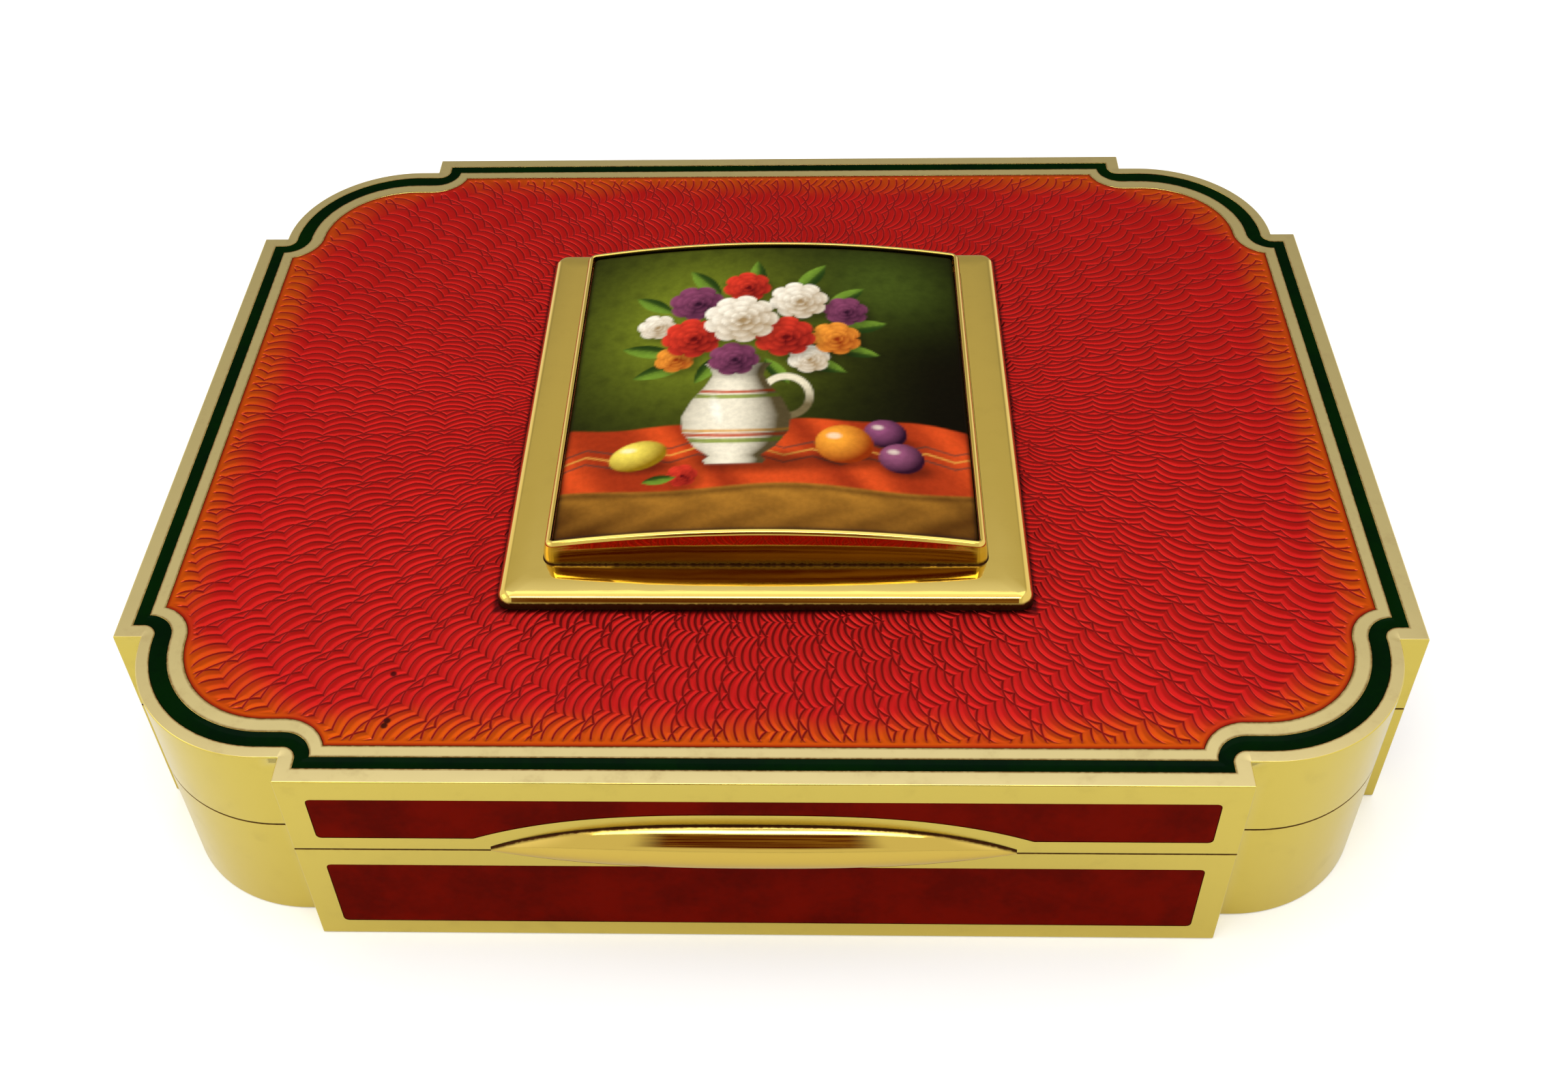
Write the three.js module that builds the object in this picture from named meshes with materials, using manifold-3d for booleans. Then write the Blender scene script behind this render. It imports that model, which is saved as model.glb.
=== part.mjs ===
// A silver-gilt table box with notched corners, engine-turned red enamel and an arched enamel plaque on its lid.
// Millimetres, +Z up, +X to the right, -Y towards the front. The origin is the centre of the underside.
import * as THREE from "three";
import { mergeVertices } from "three/addons/utils/BufferGeometryUtils.js";
import Module from "manifold-3d";

const wasm = await Module();
wasm.setup();

// Plan of the box
const planWidth = 130;
const planDepth = 103.4;
const cornerStep = 2.5; // how far the round corners stand back from the side panels
const lobeRadius = 15.3; // of the round corners
const lobeRun = 2.1; // straight stretch between a long panel and the round of the corner
const wall = 1.6;

// Heights
const baseHeight = 14.6;
const lidHeight = 10.6;
const seamGap = 0.12;
const floorThickness = 1.2;
const lidTopThickness = 1.6;
const topEdgeBevel = 0.3;

// Enamel on the lid's top, as distances in from the edge
const lineInset = 1.35;
const lineWidth = 1.23;
const topEnamelInset = 3.76;
const topEnamelDepth = 0.6;
const inlayGap = 0.04; // the fine dark seam round every enamel

// Enamel bands on the sides, as margins from the edges of their panels
const bandDepth = 0.5;
const bandCorner = 0.5;
const bandEndMargin = 2.6;
const baseBandFoot = 2.26;
const baseBandHead = 3;
const lidBandFoot = 1.85;
const lidBandHead = 3.35;

// Thumb piece, a little left of the middle, and the gilt arch that frames it in the lid's front band
const thumbShift = -0.85;
const thumbHalf = 25.1;
const thumbOut = 2.7;
const thumbRound = 3; // radius of its face in the middle
const thumbFillet = 0.4; // radius of the hollow between the wall and its face
const thumbFilletFrom = 45; // degrees that the hollow has turned where it begins, at a narrow ledge
const thumbTip = 0.55; // height of its blunt ends
const thumbTipOut = 0.15; // thickness of its ends
const thumbFullness = 3; // of its upper edge, seen from the front
const thumbBulge = 2.5; // of its lower edge, seen from above
const archStrip = 1.3; // gilt between the thumb piece and the enamel over it
const archEnd = 1.5; // the same at its ends
const archNeck = 1.7; // least height of the enamel, over the middle of the arch

// Inner rim that the lid closes over
const rimThickness = 0.8;
const rimClearance = 0.2;
const rimRise = 1.5;
const rimRearEnd = 1.2; // the rim stops this far beyond the hinge

// Hinge
const hingeInset = 1.07; // from the back face in to the pin's centre
const knuckleRadius = 1.5;
const knuckleCount = 9;
const knuckleGap = 0.1;
const coveClearance = 0.1;
const pinRadius = 0.6;
const pinClearance = 0.08;
const bearerDepth = 2.7;
const bearerHeight = 4;
const solderGap = 0.05;

// Mount plate of the plaque, with its four posts and their nuts
const mountHalfWidth = 27;
const mountHalfDepth = 29.3;
const mountForward = 0.9; // the plate and its posts stand this far in front of the lid's middle
const mountThickness = 1.6;
const mountCorner = 1.7;
const mountEdgeRound = 1;
const postRadius = 1;
const postClearance = 0.2;
const postInset = 9; // from the edge of the mount plate
const nutThickness = 1.1;
const nutRadius = 2;
const postTail = 0.25; // the post ends this far past its nut

// Bezel and plaque
const ledgeWidth = 4.4; // mount plate that shows at each side of the bezel
const bezelHalfDepth = 25.1;
const bezelForward = 0.3; // the bezel stands this far in front of the lid's middle
const bezelWall = 0.9;
const bezelCorner = 1.2;
const bezelEdgeRound = 0.3;
const bezelSideHeight = 2.5;
const bezelArchRise = 1.9;
const plaqueThickness = 1.1;
const plaqueSink = 0.35; // the plaque lies this far below the rim of its bezel
const plaqueGap = 0.08;

// Lining tray that hides the nuts inside the lid
const liningThickness = 0.6;
const liningEdge = 0.8;
const liningClearance = 0.45;

// Fineness of the curves
const lobeSteps = 12;
const turnSteps = 6;
const archSteps = 20;
const roundSteps = 32;
const postSteps = 12;
const bandCornerSteps = 3;

// Worked out from the sizes above
const panelHalf = planWidth / 2 - cornerStep - lobeRadius - lobeRun;
const sideHalf = planDepth / 2 - cornerStep - lobeRadius;
const hingeY = planDepth / 2 - hingeInset;
const coveRadius = knuckleRadius + coveClearance;
const lidTopUnder = lidHeight - lidTopThickness;
const liningUnder = lidTopUnder - nutThickness - postTail - liningClearance - liningThickness;
const archTop = lidHeight - lidBandHead - archNeck;
const thumbRise = archTop - archStrip;
const bezelHalfWidth = mountHalfWidth - ledgeWidth;
const archRadius = (bezelHalfWidth ** 2 + bezelArchRise ** 2) / (2 * bezelArchRise);
const postPlaces = [-1, 1].flatMap((sy) =>
  [-1, 1].map((sx) => [sx * (mountHalfWidth - postInset), sy * (mountHalfDepth - postInset) - mountForward]),
);
const clear = 1; // how far a cutter runs past the face that it cuts through

const gilt = new THREE.MeshStandardMaterial({ color: 0xd9bc5c, metalness: 1, roughness: 0.24 });
const giltInside = new THREE.MeshStandardMaterial({ color: 0xcfae52, metalness: 1, roughness: 0.32 });
const redEnamel = new THREE.MeshStandardMaterial({ color: 0xb02018, metalness: 0.2, roughness: 0.15 });
const bandEnamel = new THREE.MeshStandardMaterial({ color: 0x7a1206, metalness: 0.1, roughness: 0.15 });
const greenEnamel = new THREE.MeshStandardMaterial({ color: 0x04170c, metalness: 0, roughness: 0.12 });
const paintedEnamel = new THREE.MeshStandardMaterial({ color: 0x4a4a1c, metalness: 0, roughness: 0.12 });
const copper = new THREE.MeshStandardMaterial({ color: 0xa8643c, metalness: 1, roughness: 0.4 });

// Points along an arc, its two ends included, with angles in degrees.
function arc(cx, cy, radius, from, to, steps) {
  return Array.from({ length: steps + 1 }, (_, i) => {
    const t = THREE.MathUtils.degToRad(from + ((to - from) * i) / steps);
    return new THREE.Vector2(cx + radius * Math.cos(t), cy + radius * Math.sin(t));
  });
}

const circle = (radius, steps, x = 0, y = 0) => arc(x, y, radius, 0, 360, steps).slice(1);

// One quarter of the plan, from the right-hand panel round to the back panel, moved in by a distance.
// A re-entrant corner becomes an arc about itself, as a parallel line does.
function quarterOutline(inset) {
  const past = inset > cornerStep ? THREE.MathUtils.radToDeg(Math.asin(1 - cornerStep / inset)) : 0;
  const lobeX = planWidth / 2 - cornerStep;
  const lobeY = planDepth / 2 - cornerStep;
  const points = [
    ...arc(lobeX, sideHalf, inset, 270 - past, 180, turnSteps),
    ...arc(lobeX - lobeRadius, sideHalf, lobeRadius - inset, 0, 90, lobeSteps),
    ...arc(panelHalf, lobeY, inset, 270, 180 + past, turnSteps),
  ];
  if (past) return points;
  const sideEnd = new THREE.Vector2(planWidth / 2 - inset, sideHalf - inset);
  const panelEnd = new THREE.Vector2(panelHalf - inset, planDepth / 2 - inset);
  return [sideEnd, ...points, panelEnd];
}

// The whole plan, moved in by a distance, anticlockwise.
function outline(inset) {
  const quarter = quarterOutline(inset);
  const turned = (sx, sy) => quarter.map((p) => new THREE.Vector2(p.x * sx, p.y * sy));
  const points = [
    ...turned(1, 1),
    ...turned(-1, 1).reverse(),
    ...turned(-1, -1),
    ...turned(1, -1).reverse(),
  ];
  const least = 1e-4;
  return points.filter((p, i) => p.distanceTo(points[(i + points.length - 1) % points.length]) > least);
}

// A rectangle with round corners, anticlockwise, whose long edges can be parted into steps along X.
function roundedRectangle(halfX, halfY, radius, steps = 1) {
  const x = halfX - radius;
  const y = halfY - radius;
  const along = (from, atY) =>
    Array.from({ length: steps - 1 }, (_, i) => new THREE.Vector2(from * (1 - (2 * (i + 1)) / steps), atY));
  return [
    ...arc(x, y, radius, 0, 90, turnSteps),
    ...along(x, halfY),
    ...arc(-x, y, radius, 90, 180, turnSteps),
    ...arc(-x, -y, radius, 180, 270, turnSteps),
    ...along(-x, -halfY),
    ...arc(x, -y, radius, 270, 360, turnSteps),
  ];
}

// A three.js geometry as a solid that can be cut and joined.
function solid(geometry) {
  const bare = geometry.clone();
  bare.deleteAttribute("normal");
  bare.deleteAttribute("uv");
  const merged = mergeVertices(bare, 1e-4);
  const corners = merged.index.array;
  const kept = [];
  for (let i = 0; i < corners.length; i += 3) {
    const [a, b, c] = corners.slice(i, i + 3);
    if (a !== b && b !== c && c !== a) kept.push(a, b, c);
  }
  return new wasm.Manifold(
    new wasm.Mesh({
      numProp: 3,
      vertProperties: new Float32Array(merged.getAttribute("position").array),
      triVerts: new Uint32Array(kept),
    }),
  );
}

function geometryOf(made) {
  const { vertProperties, triVerts } = made.getMesh();
  const geometry = new THREE.BufferGeometry();
  geometry.setAttribute("position", new THREE.BufferAttribute(new Float32Array(vertProperties), 3));
  geometry.setIndex(new THREE.BufferAttribute(new Uint32Array(triVerts), 1));
  geometry.computeVertexNormals();
  return geometry;
}

// An outline drawn out upwards from low to high, with any holes in it.
function slab(points, low, high, holes = []) {
  const shape = new THREE.Shape(points);
  shape.holes = holes.map((hole) => new THREE.Path(hole));
  return solid(new THREE.ExtrudeGeometry(shape, { depth: high - low, bevelEnabled: false }).translate(0, 0, low));
}

// An outline in X and Z, drawn out along Y from near to far.
function slabAlongY(points, near, far) {
  const drawn = new THREE.ExtrudeGeometry(new THREE.Shape(points), { depth: far - near, bevelEnabled: false });
  return solid(drawn.rotateX(Math.PI / 2).translate(0, far, 0));
}

// A block between two corners.
function block(x0, y0, z0, x1, y1, z1) {
  const box = new THREE.BoxGeometry(x1 - x0, y1 - y0, z1 - z0);
  return solid(box.translate((x0 + x1) / 2, (y0 + y1) / 2, (z0 + z1) / 2));
}

// A round bar along X, centred on the origin, with a bore if one is given.
function barAlongX(radius, length, bore = 0) {
  const shape = new THREE.Shape(circle(radius, roundSteps));
  if (bore) shape.holes.push(new THREE.Path(circle(bore, roundSteps)));
  const drawn = new THREE.ExtrudeGeometry(shape, { depth: length, bevelEnabled: false });
  return solid(drawn.translate(0, 0, -length / 2).rotateY(Math.PI / 2));
}

// A skin through rings of equal count. Without a view to lay the end rings flat in, the last ring joins the first.
function skin(rings, flat = null) {
  const count = rings[0].length;
  const triangles = [];
  const strips = flat ? rings.length - 1 : rings.length;
  for (let r = 0; r < strips; r++)
    for (let i = 0; i < count; i++) {
      const [here, next] = [rings[r], rings[(r + 1) % rings.length]];
      const j = (i + 1) % count;
      triangles.push(here[i], here[j], next[j], here[i], next[j], next[i]);
    }
  if (flat) {
    const [first, last] = [rings[0], rings.at(-1)];
    for (const [a, b, c] of THREE.ShapeUtils.triangulateShape(first.map(flat), []))
      triangles.push(first[a], first[c], first[b]);
    for (const [a, b, c] of THREE.ShapeUtils.triangulateShape(last.map(flat), []))
      triangles.push(last[a], last[b], last[c]);
  }
  return solid(new THREE.BufferGeometry().setFromPoints(triangles));
}

const fromAbove = (p) => new THREE.Vector2(p.x, p.y);
const fromTheSide = (p) => new THREE.Vector2(p.y, p.z);
const atHeight = (points, z) => points.map((p) => new THREE.Vector3(p.x, p.y, z));

function place(group, name, made, material, x = 0, y = 0, z = 0) {
  const mesh = new THREE.Mesh(geometryOf(made), material);
  mesh.name = name;
  mesh.position.set(x, y, z);
  group.add(mesh);
}

const sides = [
  { name: "front", turn: 0, face: planDepth / 2, half: panelHalf - bandEndMargin },
  { name: "right", turn: 90, face: planWidth / 2, half: sideHalf - bandEndMargin },
  { name: "rear", turn: 180, face: planDepth / 2, half: panelHalf - bandEndMargin },
  { name: "left", turn: 270, face: planWidth / 2, half: sideHalf - bandEndMargin },
];

// The arch in the lower edge of an enamel band, from left to right.
function archPoints(foot, inset) {
  const half = thumbHalf + archEnd;
  return Array.from({ length: archSteps + 1 }, (_, i) => {
    const u = (2 * i) / archSteps - 1;
    const rise = (archTop - foot) * (1 - Math.abs(u) ** thumbFullness);
    return new THREE.Vector2(thumbShift + half * u, foot + rise + inset);
  });
}

// An enamel band on one side, laid in from the face to its full depth, or the cutter for its bed.
function band(side, foot, head, arched, inset, proud) {
  const half = side.half - inset;
  const radius = bandCorner - inset;
  const [low, high] = [foot + inset, head - inset];
  const points = [
    ...arc(-half + radius, low + radius, radius, 180, 270, bandCornerSteps),
    ...(arched ? archPoints(foot, inset) : []),
    ...arc(half - radius, low + radius, radius, 270, 360, bandCornerSteps),
    ...arc(half - radius, high - radius, radius, 0, 90, bandCornerSteps),
    ...arc(-half + radius, high - radius, radius, 90, 180, bandCornerSteps),
  ];
  return slabAlongY(points, -side.face - proud, -side.face + bandDepth).rotate([0, 0, side.turn]);
}

// Both halves are filed to this cove, which the knuckles lie in. Its edges meet when the lid is wide open.
const cove = (z) => barAlongX(coveRadius, 2 * panelHalf).translate([0, hingeY, z]);

// The walls of one half, bedded for the enamel of its four sides, and that enamel.
function addWalls(group, part, low, high, foot, head, seam) {
  let walls = slab(outline(0), low, high, [outline(wall)]).subtract(cove(seam));
  for (const side of sides) {
    const arched = part === "lid" && side.name === "front";
    walls = walls.subtract(band(side, foot, head, arched, 0, clear));
    place(group, `${part}_${side.name}_enamel`, band(side, foot, head, arched, inlayGap, 0), bandEnamel);
  }
  place(group, `${part}_walls`, walls, gilt);
}

// The bar behind the back wall that carries the knuckles of one half.
function addBearer(group, part, low, seam) {
  const back = planDepth / 2 - wall - solderGap;
  const reach = panelHalf - wall - solderGap;
  const bar = block(-reach, back - bearerDepth, low, reach, back, low + bearerHeight - seamGap);
  place(group, `${part}_hinge_bearer`, bar.subtract(cove(seam)), giltInside);
}

// Every second knuckle belongs to one half.
function addKnuckles(group, part, first, z) {
  const pitch = (2 * panelHalf) / knuckleCount;
  for (let i = first; i < knuckleCount; i += 2) {
    const tube = barAlongX(knuckleRadius, pitch - knuckleGap, pinRadius + pinClearance);
    const x = -panelHalf + pitch * (i + 0.5);
    place(group, `${part}_knuckle_${(i - first) / 2 + 1}`, tube, gilt, x, hingeY, z);
  }
}

// The rim stands on the floor inside the walls and stops on both sides of the hinge.
function innerRim() {
  const inset = wall + rimClearance;
  const high = baseHeight + rimRise;
  const ring = slab(outline(inset), floorThickness, high, [outline(inset + rimThickness)]);
  const end = panelHalf + rimRearEnd;
  return ring.subtract(block(-end, sideHalf, floorThickness - clear, end, planDepth / 2, high + clear));
}

function buildBase() {
  const base = new THREE.Group();
  place(base, "base_floor", slab(outline(wall + solderGap), 0, floorThickness), giltInside);
  addWalls(base, "base", 0, baseHeight, baseBandFoot, baseHeight - baseBandHead, baseHeight);
  addBearer(base, "base", baseHeight - bearerHeight, baseHeight);
  addKnuckles(base, "base", 0, baseHeight);
  place(base, "hinge_pin", barAlongX(pinRadius, 2 * panelHalf), gilt, 0, hingeY, baseHeight);
  place(base, "inner_rim", innerRim(), giltInside);
  return base;
}

// The outline at the top of a bevelled edge, point for point with the outline that it starts from.
function bevelled(edge, width) {
  return edge.map((p, i) => {
    const before = p.clone().sub(edge[(i + edge.length - 1) % edge.length]).normalize();
    const after = edge[(i + 1) % edge.length].clone().sub(p).normalize();
    const inward = new THREE.Vector2(-before.y - after.y, before.x + after.x).normalize();
    const share = inward.dot(new THREE.Vector2(-before.y, before.x));
    return p.clone().addScaledVector(inward, width / share);
  });
}

// The four holes that the posts of the mount go down through.
function postHoles(low, high) {
  const holes = postPlaces.map(([x, y]) =>
    slab(circle(postRadius + postClearance, postSteps, x, y), low, high),
  );
  return wasm.Manifold.union(holes);
}

// The plate of the lid's top, with a groove for the green line and a bed for the red panel.
function lidTop() {
  const edge = outline(0);
  const plate = skin(
    [
      atHeight(edge, lidTopUnder),
      atHeight(edge, lidHeight - topEdgeBevel),
      atHeight(bevelled(edge, topEdgeBevel), lidHeight),
    ],
    fromAbove,
  );
  const bed = lidHeight - topEnamelDepth;
  const past = lidHeight + clear;
  const groove = slab(outline(lineInset), bed, past, [outline(lineInset + lineWidth)]);
  const panelBed = slab(outline(topEnamelInset), bed, past);
  return plate.subtract(groove).subtract(panelBed).subtract(postHoles(lidTopUnder - clear, past));
}

function addTopEnamel(group) {
  const bed = lidHeight - topEnamelDepth;
  const panel = slab(outline(topEnamelInset + inlayGap), bed, lidHeight);
  place(group, "top_enamel", panel.subtract(postHoles(bed - clear, lidHeight + clear)), redEnamel);
  const inner = outline(lineInset + lineWidth - inlayGap);
  place(group, "green_enamel_line", slab(outline(lineInset + inlayGap), bed, lidHeight, [inner]), greenEnamel);
}

// Section of the thumb piece in its middle: a hollow off the wall, and a round face down to a flat foot.
function thumbSection() {
  const centreOut = thumbOut - thumbRound;
  const reach = thumbRound + thumbFillet;
  const lean = Math.asin((thumbFillet - centreOut) / reach);
  const centreUp = thumbRise - reach * Math.cos(lean);
  const top = 90 - THREE.MathUtils.radToDeg(lean);
  const foot = -THREE.MathUtils.radToDeg(Math.asin(centreUp / thumbRound));
  return [
    ...arc(thumbFillet, thumbRise, thumbFillet, 180 + thumbFilletFrom, 180 + top, turnSteps / 2),
    ...arc(centreOut, centreUp, thumbRound, top, foot, 2 * turnSteps).slice(1),
  ];
}

// A bead of metal across the lid's front, flat below, that thins towards both ends.
function thumbPiece() {
  const section = thumbSection();
  const rings = Array.from({ length: archSteps + 1 }, (_, i) => {
    const u = -Math.cos((Math.PI * i) / archSteps);
    const out = thumbTipOut + (thumbOut - thumbTipOut) * (1 - Math.abs(u) ** thumbBulge);
    const rise = thumbTip + (thumbRise - thumbTip) * (1 - Math.abs(u) ** thumbFullness);
    const x = thumbShift + thumbHalf * u;
    const face = section.map((p) => new THREE.Vector3(x, (-out * p.x) / thumbOut, (rise * p.y) / thumbRise));
    return [new THREE.Vector3(x, 0, 0), new THREE.Vector3(x, 0, face[0].z), ...face];
  });
  return skin(rings, fromTheSide).translate([0, -planDepth / 2, seamGap]);
}

// The tray's edge stands up to the underside of the lid's top.
function lidLining() {
  const inset = wall + solderGap;
  const tray = slab(outline(inset), liningUnder, lidTopUnder);
  return tray.subtract(slab(outline(inset + liningEdge), liningUnder + liningThickness, lidTopUnder + clear));
}

// Height of the plaque's arch over its two sides.
const archOver = (x) => bezelArchRise - archRadius + Math.sqrt(archRadius ** 2 - x ** 2);

// A slab with round corners under the arch, from a flat foot up to a height at its sides.
function archedSlab(inset, low, sideHigh) {
  const [halfX, halfY] = [bezelHalfWidth - inset, bezelHalfDepth - inset];
  const points = Array.from({ length: archSteps + 1 }, (_, i) => {
    const x = bezelHalfWidth * (1 - (2 * i) / archSteps);
    return new THREE.Vector2(x, sideHigh + archOver(x));
  });
  points.push(new THREE.Vector2(-bezelHalfWidth, low), new THREE.Vector2(bezelHalfWidth, low));
  const arched = slabAlongY(points, -bezelHalfDepth, bezelHalfDepth);
  const plan = roundedRectangle(halfX, halfY, bezelCorner - bezelWall);
  const made = slab(plan, low - clear, sideHigh + bezelArchRise + clear).intersect(arched);
  return made.translate([0, -bezelForward, 0]);
}

function mountPlate() {
  const ring = (inset, z) =>
    atHeight(roundedRectangle(mountHalfWidth - inset, mountHalfDepth - inset, mountCorner - inset), z);
  const top = lidHeight + mountThickness;
  const rounding = arc(mountEdgeRound, top - mountEdgeRound, mountEdgeRound, 180, 90, turnSteps / 2);
  const centred = skin([ring(0, lidHeight), ...rounding.map((p) => ring(p.x, p.y))], fromAbove);
  const plate = centred.translate([0, -mountForward, 0]);
  const tail = lidTopUnder - nutThickness - postTail;
  const posts = postPlaces.map(([x, y]) => slab(circle(postRadius, postSteps, x, y), tail, lidHeight + clear));
  return wasm.Manifold.union([plate, ...posts]);
}

// A wall round the plaque whose top follows the arch, rounded on its outer edge.
function bezel(seat) {
  const ring = (inset, height) =>
    roundedRectangle(bezelHalfWidth - inset, bezelHalfDepth - inset, bezelCorner - inset, archSteps).map(
      (p) => new THREE.Vector3(p.x, p.y, height(p.x)),
    );
  const rim = (x) => seat + bezelSideHeight + archOver(x);
  const rounding = arc(bezelEdgeRound, -bezelEdgeRound, bezelEdgeRound, 180, 90, turnSteps / 2);
  const centred = skin([
    ring(0, () => seat),
    ...rounding.map((p) => ring(p.x, (x) => rim(x) + p.y)),
    ring(bezelWall, rim),
    ring(bezelWall, () => seat),
  ]);
  return centred.translate([0, -bezelForward, 0]);
}

function addPlaque(group) {
  const seat = lidHeight + mountThickness;
  const inset = bezelWall + plaqueGap;
  const high = seat + bezelSideHeight - plaqueSink;
  const low = high - plaqueThickness;
  place(group, "mount_plate", mountPlate(), gilt);
  place(group, "bezel", bezel(seat), gilt);
  place(group, "plaque_packing", archedSlab(inset, seat, low), copper);
  const plaque = archedSlab(inset, seat, high).subtract(archedSlab(inset - plaqueGap, seat - clear, low));
  place(group, "plaque", plaque, paintedEnamel);
}

function addNuts(group) {
  const z = lidTopUnder - nutThickness;
  const nut = slab(circle(nutRadius, 6), 0, nutThickness, [circle(postRadius + solderGap, postSteps)]);
  postPlaces.forEach(([x, y], i) => place(group, `mount_nut_${i + 1}`, nut, giltInside, x, y, z));
}

function buildLid() {
  const lid = new THREE.Group();
  lid.position.z = baseHeight;
  place(lid, "lid_top", lidTop(), gilt);
  addTopEnamel(lid);
  addWalls(lid, "lid", seamGap, lidTopUnder, lidBandFoot, lidHeight - lidBandHead, 0);
  addBearer(lid, "lid", seamGap, 0);
  addKnuckles(lid, "lid", 1, 0);
  place(lid, "thumb_piece", thumbPiece(), gilt);
  place(lid, "lid_lining", lidLining(), giltInside);
  addPlaque(lid);
  addNuts(lid);
  return lid;
}

const tableBox = new THREE.Group();
tableBox.add(buildBase(), buildLid());

export default tableBox;
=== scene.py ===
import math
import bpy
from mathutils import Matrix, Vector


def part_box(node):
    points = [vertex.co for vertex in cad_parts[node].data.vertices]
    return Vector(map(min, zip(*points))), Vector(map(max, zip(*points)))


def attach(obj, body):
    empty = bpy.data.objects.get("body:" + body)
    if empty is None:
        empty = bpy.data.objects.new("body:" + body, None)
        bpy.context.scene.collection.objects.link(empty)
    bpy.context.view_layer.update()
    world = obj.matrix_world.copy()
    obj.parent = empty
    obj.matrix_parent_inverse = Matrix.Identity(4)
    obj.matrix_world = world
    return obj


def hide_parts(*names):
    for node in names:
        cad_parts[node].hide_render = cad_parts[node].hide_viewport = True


bl_info = {
    "name": "Enamelled table box",
    "version": (1, 0, 0),
    "blender": (4, 5, 0),
    "location": "View3D > Sidebar > Table box",
    "description": "Builds a silver-gilt table box with engine-turned enamel around its packed solids",
    "category": "Object",
}

from types import SimpleNamespace

import bmesh
import bpy
import numpy as np
from mathutils import Vector

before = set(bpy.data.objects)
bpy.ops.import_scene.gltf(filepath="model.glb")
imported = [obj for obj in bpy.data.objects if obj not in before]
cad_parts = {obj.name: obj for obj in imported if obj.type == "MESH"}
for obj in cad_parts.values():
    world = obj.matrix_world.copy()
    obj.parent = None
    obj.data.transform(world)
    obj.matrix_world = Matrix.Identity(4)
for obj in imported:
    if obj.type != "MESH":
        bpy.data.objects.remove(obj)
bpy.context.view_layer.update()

MM = 0.001  # the script draws in millimetres, and Blender holds metres


def corners(node):
    """A CAD node's lowest and highest corners, in millimetres."""
    low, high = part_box(node)
    return low / MM, high / MM


def extent(node):
    """A CAD node's width, depth and height, in millimetres."""
    low, high = corners(node)
    return high - low


def middle(node):
    """How far back a CAD node's middle lies, in millimetres."""
    low, high = corners(node)
    return (low.y + high.y) / 2


BASE_WALLS = extent("base_walls")
LID_FOOT = corners("lid_walls")[0].z
LID_TOP = corners("lid_top")
THUMB_REACH = -corners("thumb_piece")[0].y - BASE_WALLS.y / 2 - 0.45
MOUNT = extent("mount_plate")
MOUNT_Y = middle("mount_plate")
MOUNT_TOP = corners("mount_plate")[1].z
BEZEL = extent("bezel")
BEZEL_Y = middle("bezel")
PLAQUE = corners("plaque")


def linear(colour):
    """An sRGB hex colour as linear red, green, blue and alpha."""
    parts = [int(colour[i : i + 2], 16) / 255 for i in (1, 3, 5)]
    return (*(p / 12.92 if p <= 0.04045 else ((p + 0.055) / 1.055) ** 2.4 for p in parts), 1.0)


def length(name, description, millimetres):
    """A length for the sidebar."""
    return bpy.props.FloatProperty(
        name=name, description=description, default=millimetres * MM, min=0, unit="LENGTH", precision=5
    )


def tone(name, description, colour):
    """A colour for the sidebar."""
    return bpy.props.FloatVectorProperty(
        name=name, description=description, default=linear(colour), size=4, min=0, max=1, subtype="COLOR"
    )


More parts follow.
